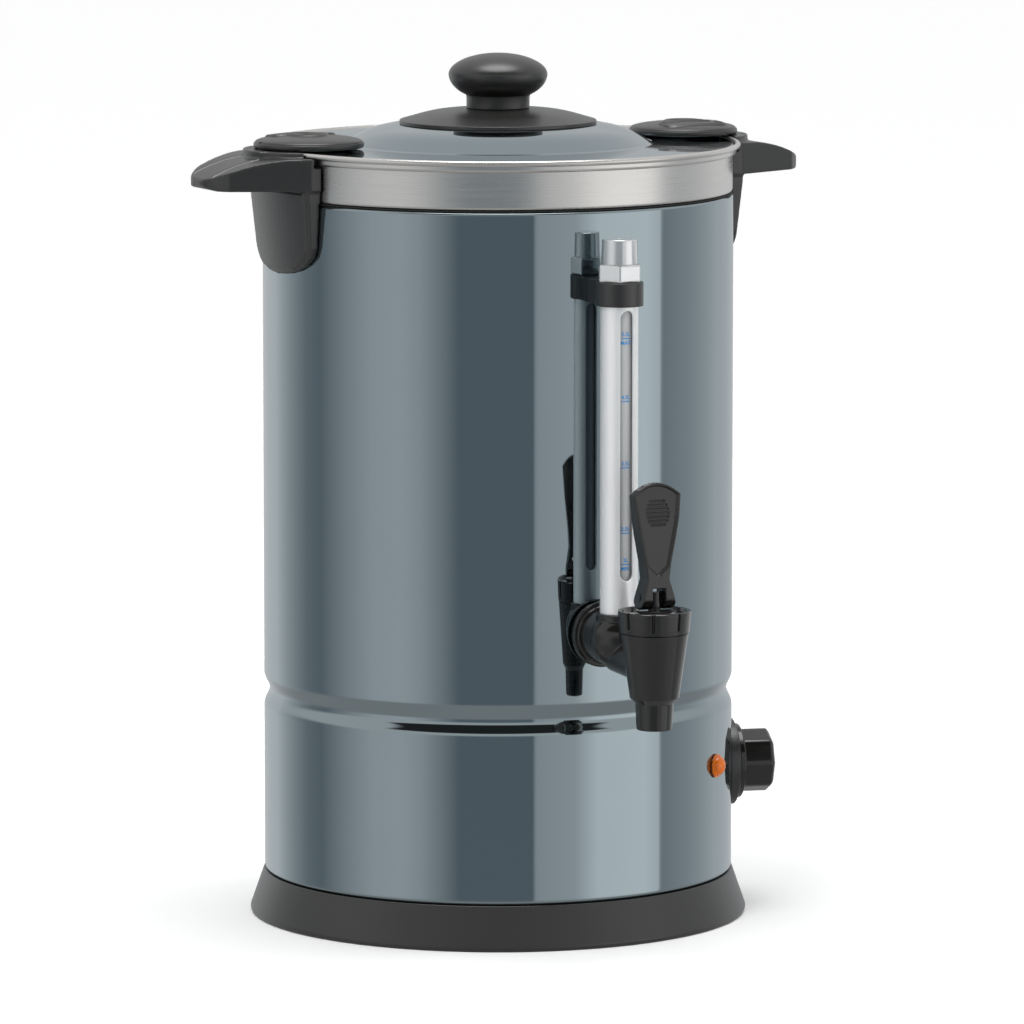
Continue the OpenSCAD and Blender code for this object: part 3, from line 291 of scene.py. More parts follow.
def around_axis(angle, radius, height, at=(0, 0)):
    """Points round an upright axis: its own place plus the radius times the cosine of the angle in x and
    times the sine in y, at the given heights."""
    x, y = at[0] + radius * np.cos(angle), at[1] + radius * np.sin(angle)
    return np.stack([x, y, height + 0 * angle], -1)


# The sheet's outer face from the curled foot to the flange. Its rows lie close together where a hole or
# the groove needs them, and the groove's depth follows a raised cosine.
curl = np.radians(np.linspace(-60, 0, 9))
dip = np.linspace(-1, 1, 37)
shoulder = np.radians(np.linspace(0, 90, 9))
below_groove = np.append(np.arange(24, 99, 2.0), 99.4)
above_groove = np.concatenate([[116.6, 118, 137], np.arange(139, 158, 2.0), [160, 250, 342, 343.4]])
flange_r = [109.8, 104.7, 104.1]
jacket_z = np.concatenate([
    23.0 + foot_curl_r * np.sin(curl), below_groove, groove_z + groove_half * dip, above_groove,
    jacket_top - shoulder_r + shoulder_r * np.sin(shoulder), np.full(len(flange_r), jacket_top)])
jacket_face = np.concatenate([
    jacket_r - foot_curl_r + foot_curl_r * np.cos(curl),
    np.full(len(below_groove), jacket_r),
    jacket_r - groove_depth * (1 + np.cos(np.pi * dip)) / 2,
    np.full(len(above_groove), jacket_r),
    jacket_r - shoulder_r + shoulder_r * np.cos(shoulder), flange_r])
# Each hole is round, so its middle line is one point.
tap_hole = (tap_turn, tap_z, tap_z, 8.2)
dial_hole = (dial_turn, dial_z, dial_z, 6.2)
lamp_hole = (lamp_turn, lamp_z, lamp_z, 4.2)
cord_hole = (cord_turn, cord_z, cord_z, 6.5)
turns = turn_angles(360, len(jacket_z))
turns, heights, kept = pierce(turns, jacket_z + 0 * turns, jacket_r,
                              [tap_hole, dial_hole, lamp_hole, cord_hole])
build("jacket_shell", [(around_axis(turns, jacket_face, heights), True, False, kept)],
      gloss_enamel, "urn", ["jacket"], wall=sheet_t)

# ---------------------------------------------------------------- pot
# Stainless can drawn in one piece. Its neck steps out over the jacket as a bare band, then a ledge
# that the lid rests on, and the edge is rolled outward into a bead. The band is brushed all round.
brushed_steel = surface("brushed_stainless_steel", ("#DCDAD7", "#E2E0DD"), (0.25, 0.31), 0.9, 0.0012,
                        stretch=(0.025, 0.025, 1), blotch=60, sockets={"Metallic": 1.0})


def fillet(corners, fine=7):
    """Rounds an outline. Each corner is (r, z, radius). The curve starts and ends at equal distances on the
    corner's two sides, and mixes its start, the corner and its end by (1-s) squared, twice s(1-s), and s
    squared. A point beside each end keeps the shading of the sides flat."""
    corners = np.array(corners, float)
    p, radius = corners[:, :2], corners[:, 2:3]
    back, on = np.roll(p, 1, 0) - p, np.roll(p, -1, 0) - p
    long_back = np.maximum(np.linalg.norm(back, axis=1, keepdims=True), 1e-9)
    long_on = np.maximum(np.linalg.norm(on, axis=1, keepdims=True), 1e-9)
    back, on = back / long_back, on / long_on
    half = (np.pi - np.arccos(np.clip((back * on).sum(1, keepdims=True), -1, 1))) / 2
    reach = np.minimum(radius * np.tan(half), 0.46 * np.minimum(long_back, long_on))
    spare = np.minimum(0.5, 0.03 * np.minimum(long_back, long_on))
    a, b = p + back * reach, p + on * reach
    s = np.linspace(0, 1, fine)[None, :, None]
    bow = (1 - s) ** 2 * a[:, None] + 2 * s * (1 - s) * p[:, None] + s ** 2 * b[:, None]
    return np.concatenate([(a + back * spare)[:, None], bow, (b + on * spare)[:, None]], 1).reshape(-1, 2)


pot_wall_r, pot_floor_z, floor_bend_r = 101.3, 123.6, 5.5
bead_at, bead_r = (113.9, 368.2), 1.4
roll = np.radians(np.linspace(-100, 180, 25))
# Each corner makes nine points. The first corner, and all but one point of the last, only give the
# neck its direction and are cut off.
neck = fillet([(pot_wall_r, 200, 0), (pot_wall_r, 347.1, 1.0), (110.8, 347.1, 0.8), (110.8, 364.8, 0.9),
               (112.5, 364.8, 0.7), (112.5, 367.9, 0)])[9:-8]
wall_z = np.concatenate([[320, 240, 170], np.arange(160, 136, -2.0), [133]])
floor_bend = np.radians(np.linspace(0, -90, 9))
floor_r = [94, 60, 20, 0]
pot_r = np.concatenate([bead_at[0] + bead_r * np.cos(roll), neck[::-1, 0], np.full(len(wall_z), pot_wall_r),
                        pot_wall_r - floor_bend_r + floor_bend_r * np.cos(floor_bend), floor_r])
pot_z = np.concatenate([bead_at[1] + bead_r * np.sin(roll), neck[::-1, 1], wall_z,
                        pot_floor_z + floor_bend_r + floor_bend_r * np.sin(floor_bend),
                        np.full(len(floor_r), pot_floor_z)])
turns = turn_angles(300, len(pot_z))
turns, heights, kept = pierce(turns, pot_z + 0 * turns, pot_wall_r, [tap_hole])
build("pot_can", [(around_axis(turns, pot_r, heights), True, False, kept)],
      brushed_steel, "urn", ["inner_pot"], wall=sheet_t)

# ---------------------------------------------------------------- rim gasket
# Black rubber ring laid between the painted shell and the steel band, so that neither scratches.
# Moulded rubber is dull and even, and hardly catches the light.
black_rubber = surface("moulded_black_rubber", ("#161616", "#1B1B1B"), (0.6, 0.75), 0.5, 0.02)


def turned(corners, steps=160, at=(0, 0), fine=7):
    """A closed outline with rounded corners carried round an upright axis, as a grid that wraps both ways."""
    outline = fillet(corners, fine)
    return around_axis(turn_angles(steps, len(outline)), outline[:, 0], outline[:, 1], at)


seal_t = 0.8
seal_top = jacket_top + seal_t
seal = turned([(102.7, jacket_top, 0.2), (111.3, jacket_top, 0.3), (111.3, seal_top, 0.3),
               (102.7, seal_top, 0.2)], 200)
build("rim_seal", [(seal, True, True)], black_rubber, "urn", ["rim_gasket"])

# ---------------------------------------------------------------- base ring
# Flared ring moulded in black phenolic plastic. The jacket's foot stands in it, the bottom plate is
# screwed up into it, and four rubber pads sit in pockets of its flat underside.
# A moulded satin surface scatters the light in a fine even grain, drawn here at 0.8 mm so that it shows.
black_phenolic = surface("moulded_satin_black_phenolic", ("#161615", "#1B1A19"), (0.30, 0.38), 0.8, 0.008,
                         blotch=25, sockets={"Specular IOR Level": 0.95})


def cut(piece, rods):
    """Takes upright rods (x, y, low, high, radius) in mm out of a piece, for its pockets."""
    for x, y, low, high, radius in rods:
        grid = turned([(0, low, 0), (radius, low, 0), (radius, high, 0), (0, high, 0)], 32, (x, y), 1)
        tool = build("cutter", [(grid, True, True)], piece.data.materials[0], "urn")
        bite = piece.modifiers.new("bite", "BOOLEAN")
        bite.object, bite.solver, bite.operation = tool, "EXACT", "DIFFERENCE"
        bpy.context.view_layer.update()
        made = bpy.data.meshes.new_from_object(piece.evaluated_get(bpy.context.evaluated_depsgraph_get()))
        piece.modifiers.clear()
        piece.data = made
        bpy.data.objects.remove(tool)
    piece.data.shade_smooth()
    piece.data.set_sharp_from_angle(angle=math.radians(smooth_up_to))


base_outline = [(112.4, 20.8, 0.7), (119.0, 2.0, 1.2), (118.4, 0, 1.0), (108.2, 0, 0.4), (108.2, 8, 0.2),
                (100, 8, 0.3), (100, 11, 0.3), (107.8, 11, 0.3), (107.8, 27, 0.3), (110, 27, 0.3),
                (110, 20.8, 0.2)]
base = build("base_moulding", [(turned(base_outline, 240), True, True)], black_phenolic, "urn",
             ["base_ring"])

pad_r, pad_h, pad_ring_r, pad_play = 4.2, 2.2, 112.8, 0.1
pad_places = [(pad_ring_r * math.cos(math.radians(t)), pad_ring_r * math.sin(math.radians(t)))
              for t in (0, 90, 180, 270)]
cut(base, [(x, y, -1, pad_h, pad_r + pad_play) for x, y in pad_places])

pad_outline = [(0, 0, 0), (pad_r, 0, 0.5), (pad_r, pad_h, 0.2), (0, pad_h, 0)]
build("foot_pads", [(turned(pad_outline, 48, place, 4), True, True) for place in pad_places],
      black_rubber, "urn", ["rubber_feet"])

# ---------------------------------------------------------------- lid
# Lid pressed from the same painted sheet: a rim that drops inside the bead, a flat flange, a crease
# and a low dome. It carries a moulded disc and a mushroom knob, held by one screw from inside.
flat_top, disc_top = 378.2, 385.4
outer_face = [(112.0, 365.1, 0.15), (112.0, 368.8, 0.9), (73.6, 369.1, 5.0), (61, 375.8, 60),
              (49, flat_top, 3), (5, flat_top, 0.1)]
inner_face = [(5, 377.4, 0.1), (49, 377.4, 3), (61.3, 375.0, 60), (73.8, 368.3, 5.0),
              (111.2, 368.0, 0.4), (111.2, 365.1, 0.15)]
build("lid_pressing", [(turned(outer_face + inner_face, 360, fine=13), True, True)],
      gloss_enamel, "lid", ["lid_shell"])

disc_outline = [(2.7, flat_top, 0.1), (9, flat_top, 0.2), (9, 379.6, 0.2), (43.8, 379.6, 0.2),
                (43.8, flat_top, 0.2), (46.8, flat_top, 0.3), (46.8, 379.9, 0.5), (30.8, 384.5, 90),
                (15.3, disc_top, 2), (2.7, disc_top, 0.1)]
build("lid_disc_moulding", [(turned(disc_outline, 240, fine=13), True, True)],
      black_phenolic, "lid", ["lid_disc"])

# The knob has a screw hole and a stem below its widest place, and its underside and top are parts of
# ovals. The start values are the angle where the underside begins, one less its cosine, and its sine.
knob_widest_r, knob_mid_z, knob_half_h = 23.5, 401.7, 9.9
start_angle, start_fall, start_sine = 1.309, 0.7412, 0.9659
under = np.radians(np.linspace(-75, -3, 22))
over = np.radians(np.linspace(0, 90, 34))
swell = ((np.cos(under) - math.cos(start_angle)) / start_fall) ** 1.3
knob_r = np.concatenate([[0, 2.5, 2.5, 14.6, 15, 15, 15.05], 15.3 + 8.2 * swell,
                         knob_widest_r * np.cos(over)])
knob_z = np.concatenate([[398.4, 398.4, disc_top, disc_top, 385.8, 387, 391],
                         knob_mid_z + knob_half_h * np.sin(under) / start_sine,
                         knob_mid_z + knob_half_h * np.sin(over) ** 1.06])
build("lid_knob_moulding", [(around_axis(turn_angles(160, len(knob_r)), knob_r, knob_z), True, False)],
      black_phenolic, "lid", ["lid_knob"])

# ---------------------------------------------------------------- handles
# Two heat-proof handles moulded in phenolic plastic: a drooping grip with two grooves, a round
# shelf for the lock, and a shield-shaped bracket screwed to the steel band with two screws.


def fused(source, cube, passes, reshape=None):
    """Copy of a CAD node's mesh with its doubles merged, rebuilt on cubes of one size and evened out, each
    point moving half way to the mean of its neighbours, so that its edges are rounded as a moulding's. A
    reshape function then moves the points, given their places in mm and the way the surface faces."""
    form = bmesh.new()
    form.from_mesh(nodes[source].data)
    bmesh.ops.remove_doubles(form, verts=form.verts, dist=2e-6)
    copy = bpy.data.meshes.new(source + "_copy")
    form.to_mesh(copy)
    form.free()
    rough = bpy.data.objects.new(source + "_copy", copy)
    bpy.context.scene.collection.objects.link(rough)
    cubes = rough.modifiers.new("cubes", "REMESH")
    cubes.mode, cubes.voxel_size = "VOXEL", cube * MM
    even = rough.modifiers.new("even", "SMOOTH")
    even.factor, even.iterations = 0.5, passes
    bpy.context.view_layer.update()
    mesh = bpy.data.meshes.new_from_object(rough.evaluated_get(bpy.context.evaluated_depsgraph_get()))
    bpy.data.objects.remove(rough)
    if reshape:
        place, facing = np.zeros(len(mesh.vertices) * 3), np.zeros(len(mesh.vertices) * 3)
        mesh.vertices.foreach_get("co", place)
        mesh.vertices.foreach_get("normal", facing)
        place = reshape(place.reshape(-1, 3) / MM, facing.reshape(-1, 3)) * MM
        mesh.vertices.foreach_set("co", place.ravel())
        mesh.update()
    return mesh


def step(value, low, high):
    """Smooth step: 0 below low, 1 above high, and between them three t squared less two t cubed."""
    t = np.clip((value - low) / (high - low), 0, 1)
    return t * t * (3 - 2 * t)


def place_mesh(name, mesh, finish, body, stands_for, bend=60):
    """Puts a finished mesh in the scene as a piece."""
    piece = bpy.data.objects.new(name, mesh)
    bpy.context.scene.collection.objects.link(piece)
    return dress(piece, finish, body, stands_for, bend)


# The bracket is an upright shield: straight sides that widen upward, over a half oval.
shield_z, oval_h, oval_half_w, shield_gain, shield_h = 325.2, 14.0, 31.9, 1.8, 23
grip_groove_y, grip_groove_w, grip_groove_sunk = 11.5, 1.0, 2.0
shield_raised = 0.8
both_sides = (("left", -1), ("right", 1))


def grip_detail(p, n, sign):
    """Sinks two grooves into the drooping top, each a bell curve in section, and raises a panel on the
    bracket's outer face, by a smooth step of the distance from the shield's edge."""
    u, v, z = p[:, 0] * sign, p[:, 1] * sign, p[:, 2]
    along = step(u, 122, 125) * (1 - step(u, 150, 154)) * (n[:, 2] > 0.55)
    for middle in (-grip_groove_y, grip_groove_y):
        z = z - grip_groove_sunk * along * np.exp(-((v - middle) / grip_groove_w) ** 2)
    low = np.clip((shield_z - z) / oval_h, 0, 1)
    half = np.where(z < shield_z, oval_half_w * np.sqrt(1 - low ** 2),
                    oval_half_w + shield_gain * np.clip((z - shield_z) / shield_h, 0, 1))
    inner = np.minimum(half - np.abs(v), z - shield_z + oval_h)
    outward = (n[:, 0] * sign > 0.4) * (u > jacket_r)
    face = step(inner, 2.2, 3.6) * (1 - step(z, 350.4, 351.6)) * outward
    return np.stack([(u + shield_raised * face) * sign, v * sign, z], -1)


for side, sign in both_sides:
    moulding = fused(side + "_handle", 0.55, 5, lambda p, n: grip_detail(p, n, sign))
    place_mesh(side + "_handle_moulding", moulding, black_phenolic, "urn",
               [side + "_handle"])

# ---------------------------------------------------------------- lid locks
# A round cap on each handle swivels on a post and reaches over the lid to hold it down. It is a thin
# domed moulding, hollow below, with a padlock outline standing nearly a millimetre proud.
cap_rows = 64
cap_x, pivot_x = 98.2, 120.8
frame_y, frame_half_x, frame_half_y, frame_round = -10, 11.5, 2.5, 4
bow_y, bow_r, bow_squash = -3.5, 9.5, 0.8
outline_raised = 0.8
dome_turn = np.linspace(0, 1, cap_rows) * np.pi / 2
hollow_turn = np.linspace(0, np.pi / 2, 12)
cap_r = np.concatenate([25.3 * np.sin(dome_turn), [25.7, 26, 26, 25.7, 25.4, 23.4, 23.1],
                        23.0 * np.cos(hollow_turn)])
cap_z = np.concatenate([372.9 + 3.1 * np.cos(dome_turn), [372.6, 372.1, 370.9, 370.4, 370.1, 370.1, 370.4],
                        371.2 + 3.0 * np.sin(hollow_turn)])


def padlock(x, y):
    """Height of the outline: a ridge round the middle line of a rounded frame and of a half oval ring. The
    distance to each line is that of a rounded box or of a circle, and a smooth step of it is the ridge."""
    qx, qy = np.abs(x) - frame_half_x, np.abs(y - frame_y) - frame_half_y
    outside = np.hypot(np.maximum(qx, 0), np.maximum(qy, 0))
    frame_line = outside + np.minimum(np.maximum(qx, qy), 0) - frame_round
    far_off = 99
    bow = np.where(y > bow_y, np.abs(np.hypot(x, (y - bow_y) * bow_squash) - bow_r), far_off)
    line = np.minimum(np.abs(frame_line), bow)
    return outline_raised * (1 - step(line, 0.4, 1.2))


for side, sign in both_sides:
    grid = around_axis(turn_angles(300, len(cap_r)), cap_r, cap_z)
    grid[:, :cap_rows, 2] += padlock(grid[:, :cap_rows, 0], grid[:, :cap_rows, 1])
    cap = np.stack([sign * (grid[..., 0] + cap_x), sign * grid[..., 1], grid[..., 2]], -1)
    post = turned([(0, 356.9, 0), (3, 356.9, 0.3), (3, 373.6, 0), (0, 373.6, 0)], 48, (sign * pivot_x, 0), 4)
    build(side + "_lock_moulding", [(cap, True, False), (post, True, True)], black_phenolic,
          side + "_lock", [side + "_lock"], bend=70)

# ---------------------------------------------------------------- tap arm
# Gloss black ABS moulding on the threaded shank that comes through the jacket. It feeds the sight
# gauge that stands in it and ends in a short arm that the tap is joined to.
# Polished black ABS has a clear deep gloss with faint sink waves a few millimetres long.
gloss_black = surface("polished_black_abs", ("#131312", "#161514"), (0.13, 0.18), 4.0, 0.002,
                      sockets={"Coat Weight": 0.4, "Coat Roughness": 0.05})
place_mesh("tap_arm_moulding", fused("tap_elbow", 0.45, 4), gloss_black, "urn", ["tap_elbow"])

# ---------------------------------------------------------------- tap body
# Valve body: a cone over a short nozzle, moulded with the arm's black and hollow from below. The
# collar above it screws on, has eight finger notches and a dished top, and guides the valve rod.
tap_at = (0, -169.5)
cone_outline = [(5.2, 111.0, 0.3), (8.2, 111.0, 0.5), (8.9, 123.2, 0.4), (11.4, 125.9, 0.8),
                (15.7, 155.8, 0.2), (13.4, 155.8, 0.1), (13.4, 161.8, 0.3), (9.6, 161.8, 0.2),
                (9.6, 131, 0.3), (5.2, 131, 0.2)]
build("tap_cone", [(turned(cone_outline, 192, tap_at), True, True)],
      gloss_black, "urn", ["tap_body"])

collar_skirt = [(3.05, 161.9, 0.1), (13.5, 161.9, 0.1), (13.5, 155.9, 0.1), (15.0, 155.9, 0.1),
                (15.0, 156.4, 0.1), (16.1, 156.4, 0.4), (16.2, 157.6, 0.1), (16.3, 158.4, 0.1)]
collar_top = [(16.85, 165.0, 0.1), (16.9, 166.0, 0.3), (16.5, 166.4, 0.3), (15.3, 166.4, 0.3),
              (14.0, 165.0, 0.3), (9.4, 165.0, 0.3), (8.4, 165.6, 0.2), (8.4, 166.6, 0.2), (3.05, 166.6, 0.1)]
collar = turned(collar_skirt + collar_top, 720)
# Each point's distance in degrees from the nearest notch, the first notch a little right of the front.
notch_pitch, notch_turn, notch_half_w, notch_sunk = 45, 17, 2.4, 1.3
bearing_of = np.arctan2(collar[..., 1], collar[..., 0])
reach_of = np.hypot(collar[..., 0], collar[..., 1])
apart = (np.degrees(bearing_of) + 90 - notch_turn + notch_pitch / 2) % notch_pitch - notch_pitch / 2
notch = (notch_sunk * np.exp(-(apart / notch_half_w) ** 4)
         * step(reach_of, 14.8, 15.4) * step(collar[..., 2], 157.6, 158.3))
collar[..., 0] -= notch * np.cos(bearing_of)
collar[..., 1] -= notch * np.sin(bearing_of)
collar[..., 1] += tap_at[1]
build("tap_collar", [(collar, True, True)], gloss_black, "urn", ["tap_bonnet"])

# ---------------------------------------------------------------- tap lever
# Paddle lever of the same gloss black: forked round the valve rod, narrow above the fork, then a thumb
# blade with a sunk front panel and seven short grip lines in an oval.
blade_z = [170.3, 180.8, 188.8, 205.9, 219.9, 225.4]
blade_half_w = [8.5, 5.6, 6.6, 10.1, 12.1, 9.6]
panel_sunk, panel_foot_z = 1.2, 182
line_count, line_pitch, first_line_z, line_half_h, line_sunk = 7, 1.8, 206.1, 0.42, 0.45
oval_z, oval_half_x, oval_half_z = 211.5, 6.2, 7.4


def lever_detail(p, n):
    """Sinks the front panel, by a smooth step of the distance from the blade's edge and from a V at its
    foot, and the grip lines, each a bell curve in section that ends where it meets an oval."""
    x, y, z = p[:, 0], p[:, 1], p[:, 2]
    half = np.interp(z, blade_z, blade_half_w)
    crown = blade_z[-1] - 5.5 * (x / max(blade_half_w)) ** 2
    inner = np.minimum(half - np.abs(x), crown - z)
    inner = np.minimum(inner, (z - panel_foot_z - 0.9 * np.abs(x)) / 1.6 + 1.0)
    front = (n[:, 1] < -0.5)
    y = y + panel_sunk * step(inner, 1.0, 1.7) * front
    for line in range(line_count):
        at = first_line_z + line_pitch * line
        long = oval_half_x * math.sqrt(1 - ((at - oval_z) / oval_half_z) ** 2)
        ends = 1 - step(np.abs(x), long - 0.6, long)
        y = y + line_sunk * front * np.exp(-((z - at) / line_half_h) ** 2) * ends
    return np.stack([x, y, z], -1)


place_mesh("lever_moulding", fused("tap_lever", 0.3, 4, lever_detail), gloss_black, "tap_lever",
           ["tap_lever"])

# ---------------------------------------------------------------- sight gauge
# Drawn aluminium sleeve with a round-ended window front and back, polished and satin anodised. It
# stands in the tap arm and guards the milky tube inside it.
# Satin anodising leaves fine lines along the tube and a soft white sheen.
satin_aluminium = surface("satin_anodised_aluminium", ("#EFF0F1", "#F4F5F5"), (0.34, 0.40), 0.6, 0.001,
                          stretch=(1, 1, 0.03), sockets={"Metallic": 0.6})
gauge_at = (0, -132.0)
sleeve_r, sleeve_wall = 8.8, 1.0
low_end, high_end = 160.2, 305.4
window_low, window_high, window_half_w = 179.6, 298.1, 3.5
windows = [(bearing, window_low, window_high, window_half_w) for bearing in (tap_turn, math.radians(90))]
sleeve_z = np.concatenate([[low_end], low_end + 0.3 + np.arange(0, 13, 4.0), np.arange(175, 183.5, 0.5),
                           np.linspace(186, 291, 24), np.arange(294, 302.5, 0.5), [303.5, high_end]])
turns = turn_angles(128, len(sleeve_z))
turns, heights, kept = pierce(turns, sleeve_z + 0 * turns, sleeve_r, windows)
build("gauge_guard", [(around_axis(turns, sleeve_r, heights, gauge_at), True, False, kept)],
      satin_aluminium, "urn", ["gauge_sleeve"], wall=sleeve_wall, bend=40)

# ---------------------------------------------------------------- gauge tube
# Milky acrylic tube that shows the water level, printed in blue with litre marks. It runs from
# the arm to the collar under the cap and is sealed at both ends by rubber rings.
# Cast acrylic is smooth, and its cloudiness lets little light straight through.
milky_acrylic = surface("milky_cast_acrylic", ("#B4B6B8", "#B9BBBC"), (0.18, 0.24), 6.0, 0.001,
                        sockets={"Transmission Weight": 0.12, "IOR": 1.49})
tube_r, bore_r, tube_foot, tube_top = 6.6, 5.6, 153.6, 318.5
tube = turned([(bore_r, tube_foot, 0.2), (tube_r, tube_foot, 0.2), (tube_r, tube_top, 0.2),
               (bore_r, tube_top, 0.2)], 96, gauge_at)
build("level_tube", [(tube, True, True)], milky_acrylic, "urn", ["gauge_tube"])

# Screen ink: an opaque even blue, slightly matte.
blue_ink = surface("blue_screen_ink", ("#1F7FC4", "#2485C8"), (0.45, 0.55), 0.5, 0.002)
ink_points, ink_faces = [], []


def add_ink(spots, faces):
    """Adds one flat mark, drawn in mm across and up the tube, to the print."""
    ink_faces.extend([[v + sum(map(len, ink_points)) for v in face] for face in faces])
    ink_points.append(spots)


# Each litre number stands on its level line, with MAX and MIN under the end numbers. The letters are cut
# fine enough to lie on the round tube.
litres = [("5.5L", 290.6, True), ("MAX", 286.6, False), ("4.5L", 261.4, True), ("3.5L", 230.6, True),
          ("2.5L", 200.1, True), ("2L", 185.6, True), ("MIN", 181.6, False)]
word_size, stroke_gain = 2.5, 0.07
line_half, line_drop, line_t = 2.2, 1.7, 0.5
line_grid = np.stack(np.meshgrid(np.linspace(-line_half, line_half, 13), [-line_t, 0.0], indexing="ij"), -1)
for words, middle_z, lined in litres:
    letters = bpy.data.curves.new("letters", "FONT")
    letters.body, letters.size = words, word_size * MM
    letters.align_x, letters.align_y = "CENTER", "CENTER"
    letters.resolution_u, letters.offset = 3, stroke_gain * MM
    shown = bpy.data.objects.new("letters", letters)
    bpy.context.scene.collection.objects.link(shown)
    bpy.context.view_layer.update()
    flat = bpy.data.meshes.new_from_object(shown.evaluated_get(bpy.context.evaluated_depsgraph_get()))
    form = bmesh.new()
    form.from_mesh(flat)
    bmesh.ops.remove_doubles(form, verts=form.verts, dist=1e-6)
    bmesh.ops.triangulate(form, faces=form.faces)
    bmesh.ops.subdivide_edges(form, edges=form.edges, cuts=3, use_grid_fill=True)
    form.to_mesh(flat)
    form.free()
    spots = np.zeros(len(flat.vertices) * 3)
    flat.vertices.foreach_get("co", spots)
    add_ink(spots.reshape(-1, 3)[:, :2] / MM + (0, middle_z), [list(face.vertices) for face in flat.polygons])
    if lined:
        line_cells = cells(*line_grid.shape[:2], False, False).reshape(-1, 4).tolist()
        add_ink(line_grid.reshape(-1, 2) + (0, middle_z - line_drop), line_cells)
    bpy.data.objects.remove(shown)
# The distance across becomes an angle at the tube's radius, and the ink lies just clear of the tube.
print_turn, ink_r = math.radians(1.5), tube_r + 0.04
ink = np.concatenate(ink_points)
turn = tap_turn + print_turn + ink[:, 0] / tube_r
ink = np.stack([ink_r * np.cos(turn), gauge_at[1] + ink_r * np.sin(turn), ink[:, 1]], -1)
print_mesh = bpy.data.meshes.new("litre_marks")
print_mesh.from_pydata(ink * MM, [], ink_faces)
place_mesh("litre_marks", print_mesh, blue_ink, "urn", [])

# ---------------------------------------------------------------- gauge top
# A black stand-off ring holds the top of the gauge to the jacket with one screw. Above it an
# aluminium hexagon collar and a slightly tapered cap with a vent hole close the tube.
place_mesh("gauge_stand_off", fused("gauge_bracket", 0.35, 3), black_phenolic, "urn",
           ["gauge_bracket"])


def soft_polygon(angle, sides, flat, turn, hardness=36):
    """Radius of a polygon with rounded corners. Each side's push is the cosine of the angle to its middle
    over its distance, and the radius is one over the p-norm of the pushes, p being the hardness."""
    facing = turn + np.arange(sides) * 2 * np.pi / sides
    push = np.maximum(np.cos(angle[..., None] - facing), 0) / flat
    return (push ** hardness).sum(-1) ** (-1 / hardness)


def stacked(levels, sides, flat, turn, steps=240):
    """A rounded polygon stacked along an axis. A level is (share of the radius, inset, height), and its
    points lie at the polygon's radius times the share, less the inset."""
    share_of, inset, rise = np.array(levels, float).T
    angle = turn_angles(steps, len(levels))
    reach = np.maximum(soft_polygon(angle, sides, flat, turn) * share_of - inset, 0)
    return np.stack([reach * np.cos(angle), reach * np.sin(angle), rise + 0 * angle], -1)


# Turned aluminium is brighter and clearer than the drawn sleeve, with fine tool marks round it.
polished_aluminium = surface("polished_turned_aluminium", ("#DEDFE0", "#E5E6E7"), (0.14, 0.19), 0.5, 0.0008,
                             stretch=(0.05, 0.05, 1), sockets={"Metallic": 0.85})
nut_half_flats, nut_turn, nut_top, cap_top = 9.53, math.radians(-84), 322.8, 334.3
nut_levels = [(0.71, 0, 314.5), (1, 0.8, 314.5), (1, 0.3, 314.7), (1, 0.05, 315.2), (1, 0, 315.7),
              (1, 0, 321.6), (1, 0.05, 322.1), (1, 0.3, 322.6), (1, 0.8, nut_top), (0.71, 0, nut_top)]
nut = stacked(nut_levels, 6, nut_half_flats, nut_turn)
nut[..., 1] += gauge_at[1]
build("gauge_collar", [(nut, True, True)], polished_aluminium, "urn", ["gauge_nut"])

cap_outline = [(0, nut_top, 0), (8.5, nut_top, 0.3), (8.1, cap_top, 0.7), (1.1, cap_top, 0.2),
               (1.0, 331.0, 0), (0, 331.0, 0)]
build("gauge_cap_turning", [(turned(cap_outline, 128, gauge_at), True, True)],
      polished_aluminium, "urn", ["gauge_cap"])

# ---------------------------------------------------------------- thermostat knob
# Eight-sided grip in gloss black on a round skirt. It is pushed on the thermostat's flatted shaft in
# front of a round escutcheon that is saddled on the jacket.


def facing_out(points, turn, height):
    """Points drawn with z as the distance from the urn's axis and y upward, turned to a bearing and raised.
    In plan, x is z times the bearing's cosine less the drawn x times its sine, and y is z times the sine
    plus the drawn x times the cosine."""
    x, y, z = points[..., 0], points[..., 1], points[..., 2]
    out_x, out_y = z * math.cos(turn) - x * math.sin(turn), z * math.sin(turn) + x * math.cos(turn)
    return np.stack([out_x, out_y, height + y], -1)


grip_half_flats, grip_face = 14.32, 134.0
grip_levels = [(0.42, 0, 118.9), (1, 0, 118.9), (1, 0, 119.6), (1, 0, 131.5), (1, 0.08, 132.2),
               (1, 0.5, 132.8), (1, 1.9, 133.8), (1, 2.4, grip_face), (1, 3.2, grip_face),
               (0.3, 0, grip_face), (0, 0, grip_face)]
grip = facing_out(stacked(grip_levels, 8, grip_half_flats, math.radians(22.5)), dial_turn, dial_z)
skirt_outline = [(6.5, 116.0, 0.2), (18, 116.0, 0.4), (18, 118.4, 0.8), (16.8, 119.0, 0.6), (6.5, 119.0, 0)]
skirt = facing_out(turned(skirt_outline, 160), dial_turn, dial_z)
build("dial_moulding", [(grip, True, False), (skirt, True, True)], gloss_black, "control_knob",
      ["control_knob"])

